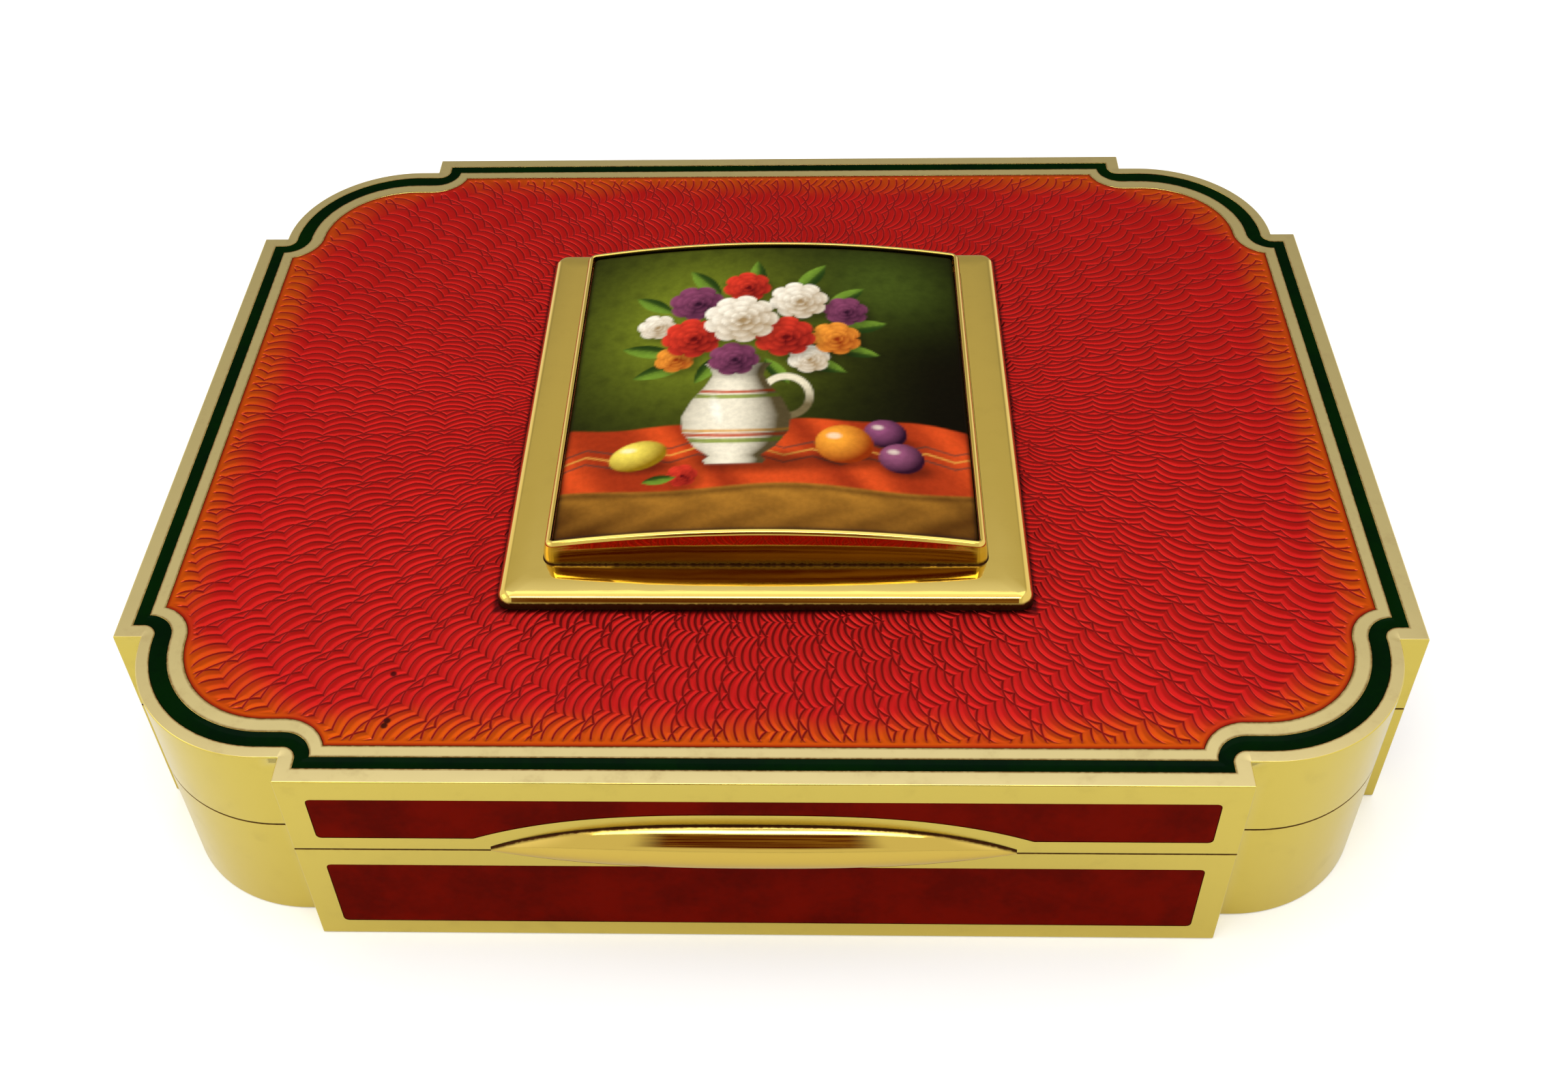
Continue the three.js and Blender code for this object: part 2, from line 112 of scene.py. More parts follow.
class BoxSizes(bpy.types.PropertyGroup):
    """Lengths of the box, its enamel and its fittings."""

    plan_width: length("Width", "Across the two side panels", BASE_WALLS.x)
    plan_depth: length("Depth", "From the front panel to the back panel", BASE_WALLS.y)
    corner_step: length("Corner step", "How far the round corners stand back from the panels", 2.85)
    lobe_radius: length("Corner radius", "Of the round corners", 14.95)
    lobe_run: length("Corner run", "Straight stretch between a long panel and the round of the corner", 2.1)
    wall: length("Wall", "Thickness of the side walls", 1.6)
    base_height: length("Base height", "Height of the lower half", BASE_WALLS.z)
    lid_foot: length("Lid foot", "Height of the lid's lower edge", LID_FOOT)
    lid_under: length("Lid underside", "Height of the underside of the lid's top", LID_TOP[0].z)
    lid_top: length("Lid top", "Height of the lid's top", LID_TOP[1].z)
    top_round: length("Top edge", "Rounding of the lid's top edge", 0.16)
    foot_round: length("Foot edge", "Rounding of the edge that the box stands on", 0.25)
    seam_round: length("Seam edge", "Rounding of the two edges that meet at the seam", 0.09)
    floor_thickness: length("Floor", "Thickness of the floor", extent("base_floor").z)
    corner_round: length("Corner edge", "Rounding of the upright edges of the panels", 0.14)
    line_inset: length("Line inset", "From the lid's edge in to the green line", 1.63)
    line_width: length("Line width", "Width of the green line", 1.35)
    panel_inset: length("Panel inset", "From the lid's edge in to the red panel", 4.3)
    lobe_line_inset: length("Corner line inset", "Line inset in the round corners", 1.3)
    lobe_line_width: length("Corner line width", "Width of the green line in the round corners", 1.75)
    lobe_panel_inset: length("Corner panel inset", "Panel inset in the round corners", 4.65)
    enamel_depth: length("Enamel depth", "Thickness of the enamel on the lid's top", 0.6)
    band_depth: length("Band depth", "Thickness of the enamel on the sides", 0.5)
    inlay_gap: length("Inlay gap", "The fine dark seam round every enamel", 0.05)
    band_corner: length("Band corner", "Radius of the corners of the side enamels", 0.5)
    band_margin: length("Band margin", "Gilt at both ends of a side enamel", 2.6)
    base_band_foot: length("Base band foot", "Gilt under the base's enamel", 2.32)
    base_band_head: length("Base band head", "Gilt over the base's enamel", 2.5)
    lid_band_foot: length("Lid band foot", "From the seam up to the lid's side enamel", 1.9)
    lid_band_head: length("Lid band head", "Gilt over the lid's side enamel", 2.67)
    thumb_half: length("Thumb piece", "Half the length of the thumb piece", 25.1)
    thumb_out: length("Thumb reach", "How far the thumb piece stands out", THUMB_REACH)
    thumb_round: length("Thumb round", "Radius of the thumb piece's face in the middle", 3.0)
    thumb_fillet: length("Thumb fillet", "Radius of the hollow between the wall and the thumb piece", 0.4)
    arch_strip: length("Arch strip", "Gilt between the thumb piece and the enamel over it", 1.42)
    arch_neck: length("Arch neck", "Height of the enamel over the middle of the arch", 2.1)
    knuckle_radius: length("Knuckle radius", "Of the hinge", 1.5)
    pin_radius: length("Pin radius", "Of the hinge's pin", 0.6)
    hinge_inset: length("Hinge inset", "From the back face in to the pin", 1.07)
    mount_corner: length("Mount corner", "Radius of the mount plate's corners", 1.7)
    mount_round: length("Mount edge", "Rounding of the mount plate's edge", 1.15)
    bezel_wall: length("Bezel wall", "Thickness of the bezel", 0.9)
    bezel_corner: length("Bezel corner", "Radius of the bezel's corners", 1.2)
    bezel_side: length("Bezel side", "Height of the bezel at its two sides", 2.5)
    arch_rise: length("Arch rise", "Height of the plaque's arch", 1.9)


class TurningSettings(bpy.types.PropertyGroup):
    """The cut of the rose engine under the lid's enamel."""

    rays: bpy.props.IntProperty(
        name="Rays", description="Grooves round the lid's centre", default=288, min=8, step=8
    )
    group: bpy.props.IntProperty(
        name="Group", description="Neighbouring rays with level scallops", default=4, min=1
    )
    scallop: length("Scallop", "Length of one scallop along its ray", 4.55)
    bow: length("Bow", "How far a scallop bows out", 0.86)
    row_step: length("Row step", "How far every second group is moved along its rays", 1.9)
    cut_width: length("Cut width", "Width of a groove", 0.34)


class BoxColours(bpy.types.PropertyGroup):
    """Colours of the metals and the enamels."""

    gilt: tone("Gilt", "Gilded silver of the walls", "#CEB956")
    worn_gilt: tone("Worn gilt", "Gilded silver of the lid's borders, wiped pale", "#BEAA6A")
    mirror_gilt: tone("Mirror gilt", "Polished fittings", "#CCAE50")
    inside_gilt: tone("Inside gilt", "The inside of the box", "#D8BC62")
    # Also laid along the seam between the two halves as painted shade
    tarnish_and_seam_shade: tone("Tarnish", "Brown film where a cloth doesn't reach", "#6E4E22")
    # Also laid as painted shade at the foot of the polished fittings
    grime_and_shade: tone("Grime", "Old polish at the foot of the polished fittings", "#3A1E0A")
    crimson: tone("Crimson", "Clear enamel of the lid", "#B41712")
    # Paler as a painted highlight of the cut, as well as thinner enamel
    crimson_thin_and_highlight: tone("Pale crimson", "The same enamel on the flanks of a cut", "#CC4034")
    # Also laid as a line of painted shade where the enamel meets the gilt
    crimson_deep_and_edge_shade: tone("Deep crimson", "The same enamel where the cut is deep", "#780203")
    amber: tone("Amber", "Thin enamel along the border of the panel", "#B84802")
    # Also the colour of the painted shadow of the mount plate on the enamel
    dust_and_shadow: tone("Dust", "Wax and dust on the enamel at the foot of the mount plate", "#240404")
    chipped: tone("Chipped", "The bottom of a chip in the enamel", "#140404")
    oxblood: tone("Oxblood", "Enamel of the sides", "#6E0B01")
    oxblood_dark: tone("Deep oxblood", "The same enamel where it lies thick", "#400602")
    green: tone("Bottle green", "Enamel line round the lid", "#021B01")
    green_dark: tone("Deep bottle green", "The same enamel where it lies thick", "#010A04")
    copper: tone("Copper", "Packing under the plaque", "#A8643C")
    fire_stain: tone("Fire stain", "Brown stains on annealed copper", "#5A2E1C")
    floor: tone("Floor", "Matt board that the box stands on", "#FAFAF8")
    floor_grain: tone("Floor grain", "Faint specks in the board", "#E8E8E4")


def sizes():
    """The lengths in the sidebar, in millimetres, with those that follow from them."""
    held = bpy.context.scene.box_sizes
    s = SimpleNamespace(**{key: getattr(held, key) / MM for key in BoxSizes.__annotations__})
    s.panel_half = s.plan_width / 2 - s.corner_step - s.lobe_radius - s.lobe_run
    s.side_half = s.plan_depth / 2 - s.corner_step - s.lobe_radius
    s.hinge_y = s.plan_depth / 2 - s.hinge_inset
    s.cove_radius = s.knuckle_radius + 0.1
    return s


# Small chips in the red enamel near the front left corner, in millimetres
CHIPS = ((-35.9, -38.6, 25.2), (-35.5, -44.4, 25.2), (-35.7, -45.0, 25.2))

# How finely curves are drawn
LOBE_STEPS = 44
TURN_STEPS = 10
ROUND_STEPS = 56
ARCH_STEPS = 56
EDGE_STEPS = 4
POST_STEPS = 24
PIN_STEPS = 32
SMOOTH_ANGLE = math.radians(38)  # edges sharper than this stay sharp

# Places that only the photograph gives, in millimetres
THUMB_SHIFT = -0.85  # the thumb piece stands a little left of the middle
ARCH_END = 1.5  # gilt beyond the ends of the thumb piece
THUMB_TIP = 0.55
THUMB_FOOT = 0.15
THUMB_FULLNESS = 3.0
THUMB_BULGE = 2.5


def arc(cx, cy, radius, start, end, steps):
    """Points along an arc, its ends included, with angles in degrees."""
    angles = np.radians(np.linspace(start, end, steps + 1))
    return [(cx + radius * math.cos(a), cy + radius * math.sin(a)) for a in angles]


def outline(s, inset, lobe_inset=None):
    """The plan moved in by a distance, and by another in the round corners if one is given. It runs
    anticlockwise, always with the same count of points. A re-entrant corner becomes an arc about itself,
    as a parallel line does."""
    lobe_inset = inset if lobe_inset is None else lobe_inset
    past = math.degrees(math.asin(1 - s.corner_step / inset)) if inset > s.corner_step else 0
    lobe_x = s.plan_width / 2 - s.corner_step
    lobe_y = s.plan_depth / 2 - s.corner_step
    radii = np.linspace(inset, lobe_inset, TURN_STEPS + 1)
    angles = np.radians(np.linspace(90 + past, 180, TURN_STEPS + 1))
    first = [(lobe_x + r * math.cos(a), s.side_half - r * math.sin(a)) for r, a in zip(radii, angles)]
    lobe = arc(lobe_x - s.lobe_radius, s.side_half, s.lobe_radius - lobe_inset, 0, 90, LOBE_STEPS)
    angles = np.radians(np.linspace(270, 180 + past, TURN_STEPS + 1))
    last = [
        (s.panel_half + r * math.cos(a), lobe_y + r * math.sin(a))
        for r, a in zip(reversed(radii), angles)
    ]
    soft = max(s.corner_round - inset, 0)
    start, end = [first[0]] * 4, [last[-1]] * 4
    if not past:
        start = arc(s.plan_width / 2 - inset - soft, s.side_half - inset - soft, soft, 0, 90, 3)
        end = arc(s.panel_half - inset - soft, s.plan_depth / 2 - inset - soft, soft, 0, 90, 3)
    quarter = [*start, *first, *lobe, *last, *end]
    return [
        (sx * x, sy * y)
        for sx, sy in ((1, 1), (-1, 1), (-1, -1), (1, -1))
        for x, y in (quarter if sx * sy > 0 else reversed(quarter))
    ]


def inlay_outline(s, inset):
    """The plan moved in as the inlays of the lid run: in the round corners the green line is broader."""
    edge = (0, s.line_inset, s.line_inset + s.line_width, s.panel_inset)
    in_lobe = (0, s.lobe_line_inset, s.lobe_line_inset + s.lobe_line_width, s.lobe_panel_inset)
    beyond = max(inset - s.panel_inset, 0)
    return outline(s, inset, np.interp(inset, edge, in_lobe) + beyond)


def rounded_rectangle(half_x, half_y, radius, steps=1, cy=0.0):
    """A rectangle with round corners, anticlockwise, with its long edges parted into steps along X."""
    x, y = half_x - radius, half_y - radius
    shares = [1 - 2 * i / steps for i in range(1, steps)]
    centred = [
        *arc(x, y, radius, 0, 90, TURN_STEPS),
        *((x * share, half_y) for share in shares),
        *arc(-x, y, radius, 90, 180, TURN_STEPS),
        *arc(-x, -y, radius, 180, 270, TURN_STEPS),
        *((-x * share, -half_y) for share in shares),
        *arc(x, -y, radius, 270, 360, TURN_STEPS),
    ]
    return [(px, py + cy) for px, py in centred]


def at_height(points, z):
    return [(x, y, z) for x, y in points]


def skin(rings, joined=False):
    """Vertices and faces through rings of equal count. Joined rings close on themselves, and others
    get end faces."""
    count = len(rings[0])
    strips = len(rings) if joined else len(rings) - 1
    faces = []
    for r in range(strips):
        here = r * count
        there = (r + 1) % len(rings) * count
        for i in range(count):
            j = (i + 1) % count
            faces.append((here + i, here + j, there + j, there + i))
    if not joined:
        faces.append(tuple(reversed(range(count))))
        faces.append(tuple(range((len(rings) - 1) * count, len(rings) * count)))
    return [point for ring in rings for point in ring], faces


def solid(name, made, fields=()):
    """An object with a closed mesh. Fields are numbers or colours for each vertex."""
    points, faces = made
    mesh = bpy.data.meshes.new(name)
    mesh.from_pydata([Vector(p) * MM for p in points], [], faces)
    for field, values in dict(fields).items():
        values = np.asarray(values, np.float32)
        if values.ndim == 2:
            mesh.color_attributes.new(field, "FLOAT_COLOR", "POINT").data.foreach_set("color", values.ravel())
        else:
            mesh.attributes.new(field, "FLOAT", "POINT").data.foreach_set("value", values)
    shape = bmesh.new()
    shape.from_mesh(mesh)
    bmesh.ops.remove_doubles(shape, verts=shape.verts, dist=0.0005 * MM)
    bmesh.ops.recalc_face_normals(shape, faces=shape.faces)
    shape.to_mesh(mesh)
    shape.free()
    made_object = bpy.data.objects.new(name, mesh)
    bpy.context.scene.collection.objects.link(made_object)
    return made_object


def changed(target, cutters, operation="DIFFERENCE"):
    """Cuts other solids out of one, or joins them to it, and removes them."""
    for cutter in cutters:
        step = target.modifiers.new("shape", "BOOLEAN")
        step.operation = operation
        step.solver = "EXACT"
        step.object = cutter
    bpy.context.view_layer.update()
    seen = target.evaluated_get(bpy.context.evaluated_depsgraph_get())
    mesh = bpy.data.meshes.new_from_object(seen)
    target.modifiers.clear()
    target.data = mesh
    for cutter in cutters:
        bpy.data.objects.remove(cutter)
    return target


def fitted(target, body, slot, nodes, *materials):
    """Smooths a piece between its sharp edges, gives it its materials and joins it to its body."""
    mesh = target.data
    mesh.materials.clear()
    for material in materials:
        mesh.materials.append(material)
    mesh.shade_smooth()
    mesh.set_sharp_from_angle(angle=SMOOTH_ANGLE)
    even = target.modifiers.new("even normals", "WEIGHTED_NORMAL")
    even.keep_sharp = True
    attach(target, body)
    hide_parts(*nodes)
    return target


def add(tree, kind, fill=(), **settings):
    """Adds a node with its settings, and fills its inputs from values, sockets or other nodes."""
    made = tree.nodes.new(kind)
    for key, value in settings.items():
        setattr(made, key, value)
    for key, value in fill.items() if isinstance(fill, dict) else enumerate(fill):
        if isinstance(value, bpy.types.Node):
            value = value.outputs[0]
        if isinstance(value, bpy.types.NodeSocket):
            tree.links.new(value, made.inputs[key])
        elif value is not None:
            made.inputs[key].default_value = value
    return made


def new_material(name):
    """An empty node material, with its tree and a place in millimetres on the piece at rest."""
    material = bpy.data.materials.new(name)
    material.use_nodes = True
    tree = material.node_tree
    tree.nodes.clear()
    on_piece = add(tree, "ShaderNodeTexCoord").outputs["Object"]
    place = add(tree, "ShaderNodeVectorMath", {0: on_piece, 3: 1 / MM}, operation="SCALE").outputs[0]
    return material, tree, place


# Settings of the nodes that run a number smoothly from low to high, and of those that mix two colours
SMOOTH = {"interpolation_type": "SMOOTHSTEP"}
TINTS = {"data_type": "RGBA"}


def hand_polish(tree, place, stroke, strength):
    """Bump of a hand-polished metal: faint hollows some 5 mm wide, and strokes of the polishing stick.
    Real strokes are some 0.02 mm wide, and are drawn 0.12 mm wide so that they show."""
    hollows = add(tree, "ShaderNodeTexNoise", {"Vector": place, "Scale": 1 / 5, "Detail": 1.0})
    stretched = add(tree, "ShaderNodeVectorMath", [place, stroke], operation="MULTIPLY")
    strokes = add(tree, "ShaderNodeTexNoise", {"Vector": stretched, "Scale": 1 / 0.12, "Detail": 2.0})
    fill = {"Height": hollows, "Distance": 0.05 * MM, "Strength": strength}
    first = add(tree, "ShaderNodeBump", fill)
    fill = {"Height": strokes, "Distance": 0.002 * MM, "Strength": strength, "Normal": first}
    return add(tree, "ShaderNodeBump", fill)


ROUND_STROKES = (0.04, 0.04, 1.0)  # strokes led round the walls
LONG_STROKES = (0.03, 1.0, 1.0)  # strokes along the width of the box


def gilded_silver(name, metal, roughness, film, stain="tarnish_and_seam_shade", stroke=ROUND_STROKES, bump=0.5, edge=None):
    """Silver with a thin layer of gold, polished by hand: a warm metal with cloudy film and fine strokes.
    The film lies in patches some 3 mm wide, and along an edge where a piece says so: beside the enamel it is
    a real stain, and at the seam and at the foot of the polished fittings it is dirt with painted shade."""
    colours = bpy.context.scene.box_colours
    material, tree, place = new_material(name)
    fill = {"Vector": place, "Scale": 1 / 3, "Detail": 5.0, "Roughness": 0.62}
    patches = add(tree, "ShaderNodeTexNoise", fill)
    cover = add(tree, "ShaderNodeMapRange", [patches, 0.52, 0.78, 0.0, film], **SMOOTH)
    if edge:
        near = add(tree, "ShaderNodeAttribute", attribute_name=edge).outputs["Fac"]
        grain = add(tree, "ShaderNodeTexNoise", {"Vector": place, "Scale": 1 / 0.5, "Detail": 3.0})
        grain = add(tree, "ShaderNodeMapRange", [grain, 0.25, 0.7, 0.6, 1.0], **SMOOTH)
        worn = add(tree, "ShaderNodeMath", [near, grain], operation="MULTIPLY")
        cover = add(tree, "ShaderNodeMath", [cover, worn], operation="MAXIMUM")
    fill = {0: cover, 6: getattr(colours, metal)[:], 7: getattr(colours, stain)[:]}
    base = add(tree, "ShaderNodeMix", fill, **TINTS).outputs[2]
    dulled = add(tree, "ShaderNodeMath", [cover, 0.35, roughness], operation="MULTIPLY_ADD")
    fill = {"Base Color": base, "Metallic": 1.0, "Roughness": dulled}
    fill["Normal"] = hand_polish(tree, place, stroke, bump)
    shader = add(tree, "ShaderNodeBsdfPrincipled", fill)
    add(tree, "ShaderNodeOutputMaterial", {"Surface": shader})
    return material


def engine_turning(tree, place, turning):
    """The cut of a rose engine as nodes: rays of scallops about the lid's centre, in groups of rays with
    level scallops, every second group moved along. The ray between two groups is cut with both.
    Gives the depth of the cuts, and the depth of the shallow hollows that they lie in."""
    rays, group = turning.rays, turning.group
    scallop, bow = turning.scallop / MM, turning.bow / MM
    bend = (scallop**2 / 4 + bow**2) / (2 * bow)
    drift = add(tree, "ShaderNodeTexNoise", {"Vector": place, "Scale": 1 / 7}).outputs["Color"]
    drift = add(tree, "ShaderNodeVectorMath", [drift, (0.5, 0.5, 0.5)], operation="SUBTRACT")
    drifted = add(tree, "ShaderNodeVectorMath", [drift, (1.0, 1.0, 0.0), place], operation="MULTIPLY_ADD")
    flat = add(tree, "ShaderNodeVectorMath", [drifted, (1, 1, 0)], operation="MULTIPLY")
    radius = add(tree, "ShaderNodeVectorMath", [flat], operation="LENGTH").outputs["Value"]
    parts = add(tree, "ShaderNodeSeparateXYZ", [flat])
    angle = add(tree, "ShaderNodeMath", [parts.outputs["Y"], parts.outputs["X"]], operation="ARCTAN2")
    ray = add(tree, "ShaderNodeMath", [angle, rays / math.tau], operation="MULTIPLY")
    per_mm = add(tree, "ShaderNodeMath", [rays / math.tau, radius], operation="DIVIDE")
    depth, hollow = 0.0, 0.0
    for row in (0, 1):
        begun = add(tree, "ShaderNodeMath", [radius, row * turning.row_step / MM], operation="SUBTRACT")
        rows = add(tree, "ShaderNodeMath", [begun, scallop], operation="DIVIDE")
        share = add(tree, "ShaderNodeMath", [rows], operation="FRACT")
        off = add(tree, "ShaderNodeMath", [share, scallop, -scallop / 2], operation="MULTIPLY_ADD")
        squared = add(tree, "ShaderNodeMath", [off, off], operation="MULTIPLY")
        rest = add(tree, "ShaderNodeMath", [bend**2, squared], operation="SUBTRACT")
        height = add(tree, "ShaderNodeMath", [rest], operation="SQRT")
        bulge = add(tree, "ShaderNodeMath", [height, bend - bow], operation="SUBTRACT")
        number = add(tree, "ShaderNodeMath", [bulge, per_mm, ray], operation="MULTIPLY_ADD")
        index = add(tree, "ShaderNodeMath", [number], operation="FLOOR")
        within = add(tree, "ShaderNodeMath", [number, index], operation="SUBTRACT")
        centred = add(tree, "ShaderNodeMath", [within, 0.5], operation="SUBTRACT")
        turns = add(tree, "ShaderNodeMath", [index, 0.5 / group, 0.5 * row + 0.01], operation="MULTIPLY_ADD")
        turn = add(tree, "ShaderNodeMath", [turns], operation="FRACT")
        mine = add(tree, "ShaderNodeMath", [turn, (group + 0.9) / (2 * group)], operation="LESS_THAN")
        wide = add(tree, "ShaderNodeMath", [centred, per_mm], operation="DIVIDE")
        slant = add(tree, "ShaderNodeMath", [height, 1 / bend], operation="MULTIPLY")
        across = add(tree, "ShaderNodeMath", [wide, slant], operation="MULTIPLY")
        side = add(tree, "ShaderNodeMath", [across], operation="ABSOLUTE")
        cut = add(tree, "ShaderNodeMapRange", [side, 0.0, turning.cut_width / MM / 2, 1.0, 0.0], **SMOOTH)
        own = add(tree, "ShaderNodeMath", [cut, mine], operation="MULTIPLY")
        depth = add(tree, "ShaderNodeMath", [own, depth], operation="MAXIMUM").outputs[0]
        far = add(tree, "ShaderNodeMath", [centred], operation="ABSOLUTE")
        bowl = add(tree, "ShaderNodeMapRange", [far, 0.0, 0.5, 1.0, 0.0], **SMOOTH)
        own = add(tree, "ShaderNodeMath", [bowl, mine], operation="MULTIPLY")
        hollow = add(tree, "ShaderNodeMath", [own, hollow], operation="MAXIMUM").outputs[0]
    return depth, hollow


def turned_enamel(name):
    """Clear crimson enamel fired over engine-turned silver: a smooth glossy coat over a cut that glints.
    Where the cut is deep the enamel is darker, and its flanks are paler as a painted highlight. Along the
    border it is thin and turns amber, with a line of painted shade against the gilt, and a painted shadow
    with some wax lies beside the foot of the mount plate."""
    colours = bpy.context.scene.box_colours
    crimson, deep, pale = colours.crimson[:], colours.crimson_deep_and_edge_shade[:], colours.crimson_thin_and_highlight[:]
    material, tree, place = new_material(name)
    cut, hollow = engine_turning(tree, place, bpy.context.scene.box_turning)

    # The cut ends 0.5 to 1 mm from the border of the panel
    border = add(tree, "ShaderNodeAttribute", attribute_name="border").outputs["Fac"]
    ended = add(tree, "ShaderNodeMapRange", [border, 0.45, 1.0], **SMOOTH)
    cut = add(tree, "ShaderNodeMath", [cut, ended], operation="MULTIPLY")
    hollow = add(tree, "ShaderNodeMath", [hollow, ended], operation="MULTIPLY")

    # Clouds some 14 mm wide, amber where the enamel is thin, and a dark line of painted shade where it meets
    # the gilt
    clouds = add(tree, "ShaderNodeTexNoise", {"Vector": place, "Scale": 1 / 14, "Detail": 3.0})
    deeper = add(tree, "ShaderNodeMapRange", [clouds, 0.35, 0.7, 0.0, 0.16], **SMOOTH)
    ground = add(tree, "ShaderNodeMix", {0: deeper, 6: crimson, 7: deep}, **TINTS).outputs[2]
    inset = add(tree, "ShaderNodeAttribute", attribute_name="inset").outputs["Fac"]
    ragged = add(tree, "ShaderNodeTexNoise", {"Vector": place, "Scale": 1 / 7, "Detail": 4.0})
    away = add(tree, "ShaderNodeMath", [ragged, 4.0, inset], operation="MULTIPLY_ADD")
    thin = add(tree, "ShaderNodeMapRange", [away, 5.0, 8.8, 0.95, 0.0], **SMOOTH)
    ground = add(tree, "ShaderNodeMix", {0: thin, 6: ground, 7: colours.amber[:]}, **TINTS).outputs[2]
    # The dark line against the gilt is painted shade
    thick = add(tree, "ShaderNodeMapRange", [border, 0.0, 0.4, 0.8, 0.0], **SMOOTH)
    ground = add(tree, "ShaderNodeMix", {0: thick, 6: ground, 7: deep}, **TINTS).outputs[2]

    # Pale on the flanks of a cut as a painted highlight, over enamel that is thin there; dark at its bottom,
    # where the enamel lies deep
    cut_side_highlight = add(tree, "ShaderNodeMapRange", [cut, 0.02, 0.3, 0.0, 0.5], **SMOOTH)
    colour = add(tree, "ShaderNodeMix", {0: cut_side_highlight, 6: ground, 7: pale}, **TINTS).outputs[2]
    core = add(tree, "ShaderNodeMapRange", [cut, 0.3, 0.85, 0.0, 0.9], **SMOOTH)
    colour = add(tree, "ShaderNodeMix", {0: core, 6: colour, 7: deep}, **TINTS).outputs[2]

    # Wax and a painted shadow darken the enamel along the foot of the mount plate
    parts = add(tree, "ShaderNodeSeparateXYZ", [place])
    sideways = add(tree, "ShaderNodeMath", [parts.outputs["X"]], operation="ABSOLUTE")
    sideways = add(tree, "ShaderNodeMath", [sideways, MOUNT.x / 2], operation="SUBTRACT")
    lengthways = add(tree, "ShaderNodeMath", [parts.outputs["Y"], MOUNT_Y], operation="SUBTRACT")
    lengthways = add(tree, "ShaderNodeMath", [lengthways], operation="ABSOLUTE")
    lengthways = add(tree, "ShaderNodeMath", [lengthways, MOUNT.y / 2], operation="SUBTRACT")
    beside = add(tree, "ShaderNodeMath", [sideways, lengthways], operation="MAXIMUM")
    dust_and_shadow = add(tree, "ShaderNodeMapRange", [beside, 0.05, 0.6, 0.85, 0.0], **SMOOTH)
    colour = add(tree, "ShaderNodeMix", {0: dust_and_shadow, 6: colour, 7: colours.dust_and_shadow[:]}, **TINTS).outputs[2]
    for chip in CHIPS:
        off = add(tree, "ShaderNodeVectorMath", [place, chip], operation="DISTANCE").outputs["Value"]
        off = add(tree, "ShaderNodeMath", [ragged, -0.5, off], operation="MULTIPLY_ADD")
        chipped = add(tree, "ShaderNodeMapRange", [off, 0.0, 0.25, 0.9, 0.0], **SMOOTH)
        fill = {0: chipped, 6: colour, 7: colours.chipped[:]}
        colour = add(tree, "ShaderNodeMix", fill, **TINTS).outputs[2]

    # The cut shows through as relief 0.14 mm deep
    low = add(tree, "ShaderNodeMath", [hollow, 0.35, cut], operation="MULTIPLY_ADD")
    bump = add(tree, "ShaderNodeBump", {"Height": low, "Distance": 0.14 * MM, "Strength": 1.0}, invert=True)
    fill = {
        "Base Color": colour,
        "Metallic": 0.7,
        "Roughness": 0.3,
        "Specular IOR Level": 0.1,
        "Specular Tint": (1.0, 0.3, 0.12, 1.0),
        "Normal": bump,
        "Coat Weight": 0.03,
        "Coat Roughness": 0.03,
    }
    shader = add(tree, "ShaderNodeBsdfPrincipled", fill)
    add(tree, "ShaderNodeOutputMaterial", {"Surface": shader})
    return material


def plain_enamel(name, colour, deep, patch, share):
    """Clear enamel fired over plain silver: glossy, with faint clouds where it lies thicker. The clouds
    are as wide as the patch, in millimetres, with specks of 0.8 mm in them."""
    colours = bpy.context.scene.box_colours
    material, tree, place = new_material(name)
    clouds = add(tree, "ShaderNodeTexNoise", {"Vector": place, "Scale": 1 / patch, "Detail": 4.0})
    specks = add(tree, "ShaderNodeTexNoise", {"Vector": place, "Scale": 1 / 0.8, "Detail": 2.0})
    mixed = add(tree, "ShaderNodeMath", [specks, 0.3, clouds], operation="MULTIPLY_ADD")
    cover = add(tree, "ShaderNodeMapRange", [mixed, 0.45, 0.85, 0.0, share], **SMOOTH)
    fill = {0: cover, 6: getattr(colours, colour)[:], 7: getattr(colours, deep)[:]}
    fill = {
        "Base Color": add(tree, "ShaderNodeMix", fill, **TINTS).outputs[2],
        "Roughness": 0.2,
        "Specular IOR Level": 0.0,
        "Normal": add(tree, "ShaderNodeBump", {"Height": clouds, "Distance": 0.02 * MM, "Strength": 0.3}),
        "Coat Weight": 0.03,
        "Coat Roughness": 0.03,
    }
    shader = add(tree, "ShaderNodeBsdfPrincipled", fill)
    add(tree, "ShaderNodeOutputMaterial", {"Surface": shader})
    return material


def painted_enamel(name):
    """Enamel colours painted by hand on white enamel, under a clear glossy flux: soft brushwork with
    strokes some 0.7 mm wide, and a wet shine."""
    material, tree, place = new_material(name)
    paint = add(tree, "ShaderNodeAttribute", attribute_name="painting").outputs["Color"]
    strokes = add(tree, "ShaderNodeTexNoise", {"Vector": place, "Scale": 1 / 0.7, "Detail": 4.0})
    tone_shift = add(tree, "ShaderNodeMapRange", [strokes, 0.3, 0.7, 0.9, 1.04], **SMOOTH)
    fill = {
        "Base Color": add(tree, "ShaderNodeVectorMath", {0: paint, 3: tone_shift}, operation="SCALE"),
        "Roughness": 0.4,
        "Specular IOR Level": 0.0,
        "Coat Weight": 0.05,
        "Coat Roughness": 0.03,
    }
    shader = add(tree, "ShaderNodeBsdfPrincipled", fill)
    add(tree, "ShaderNodeOutputMaterial", {"Surface": shader})
    return material


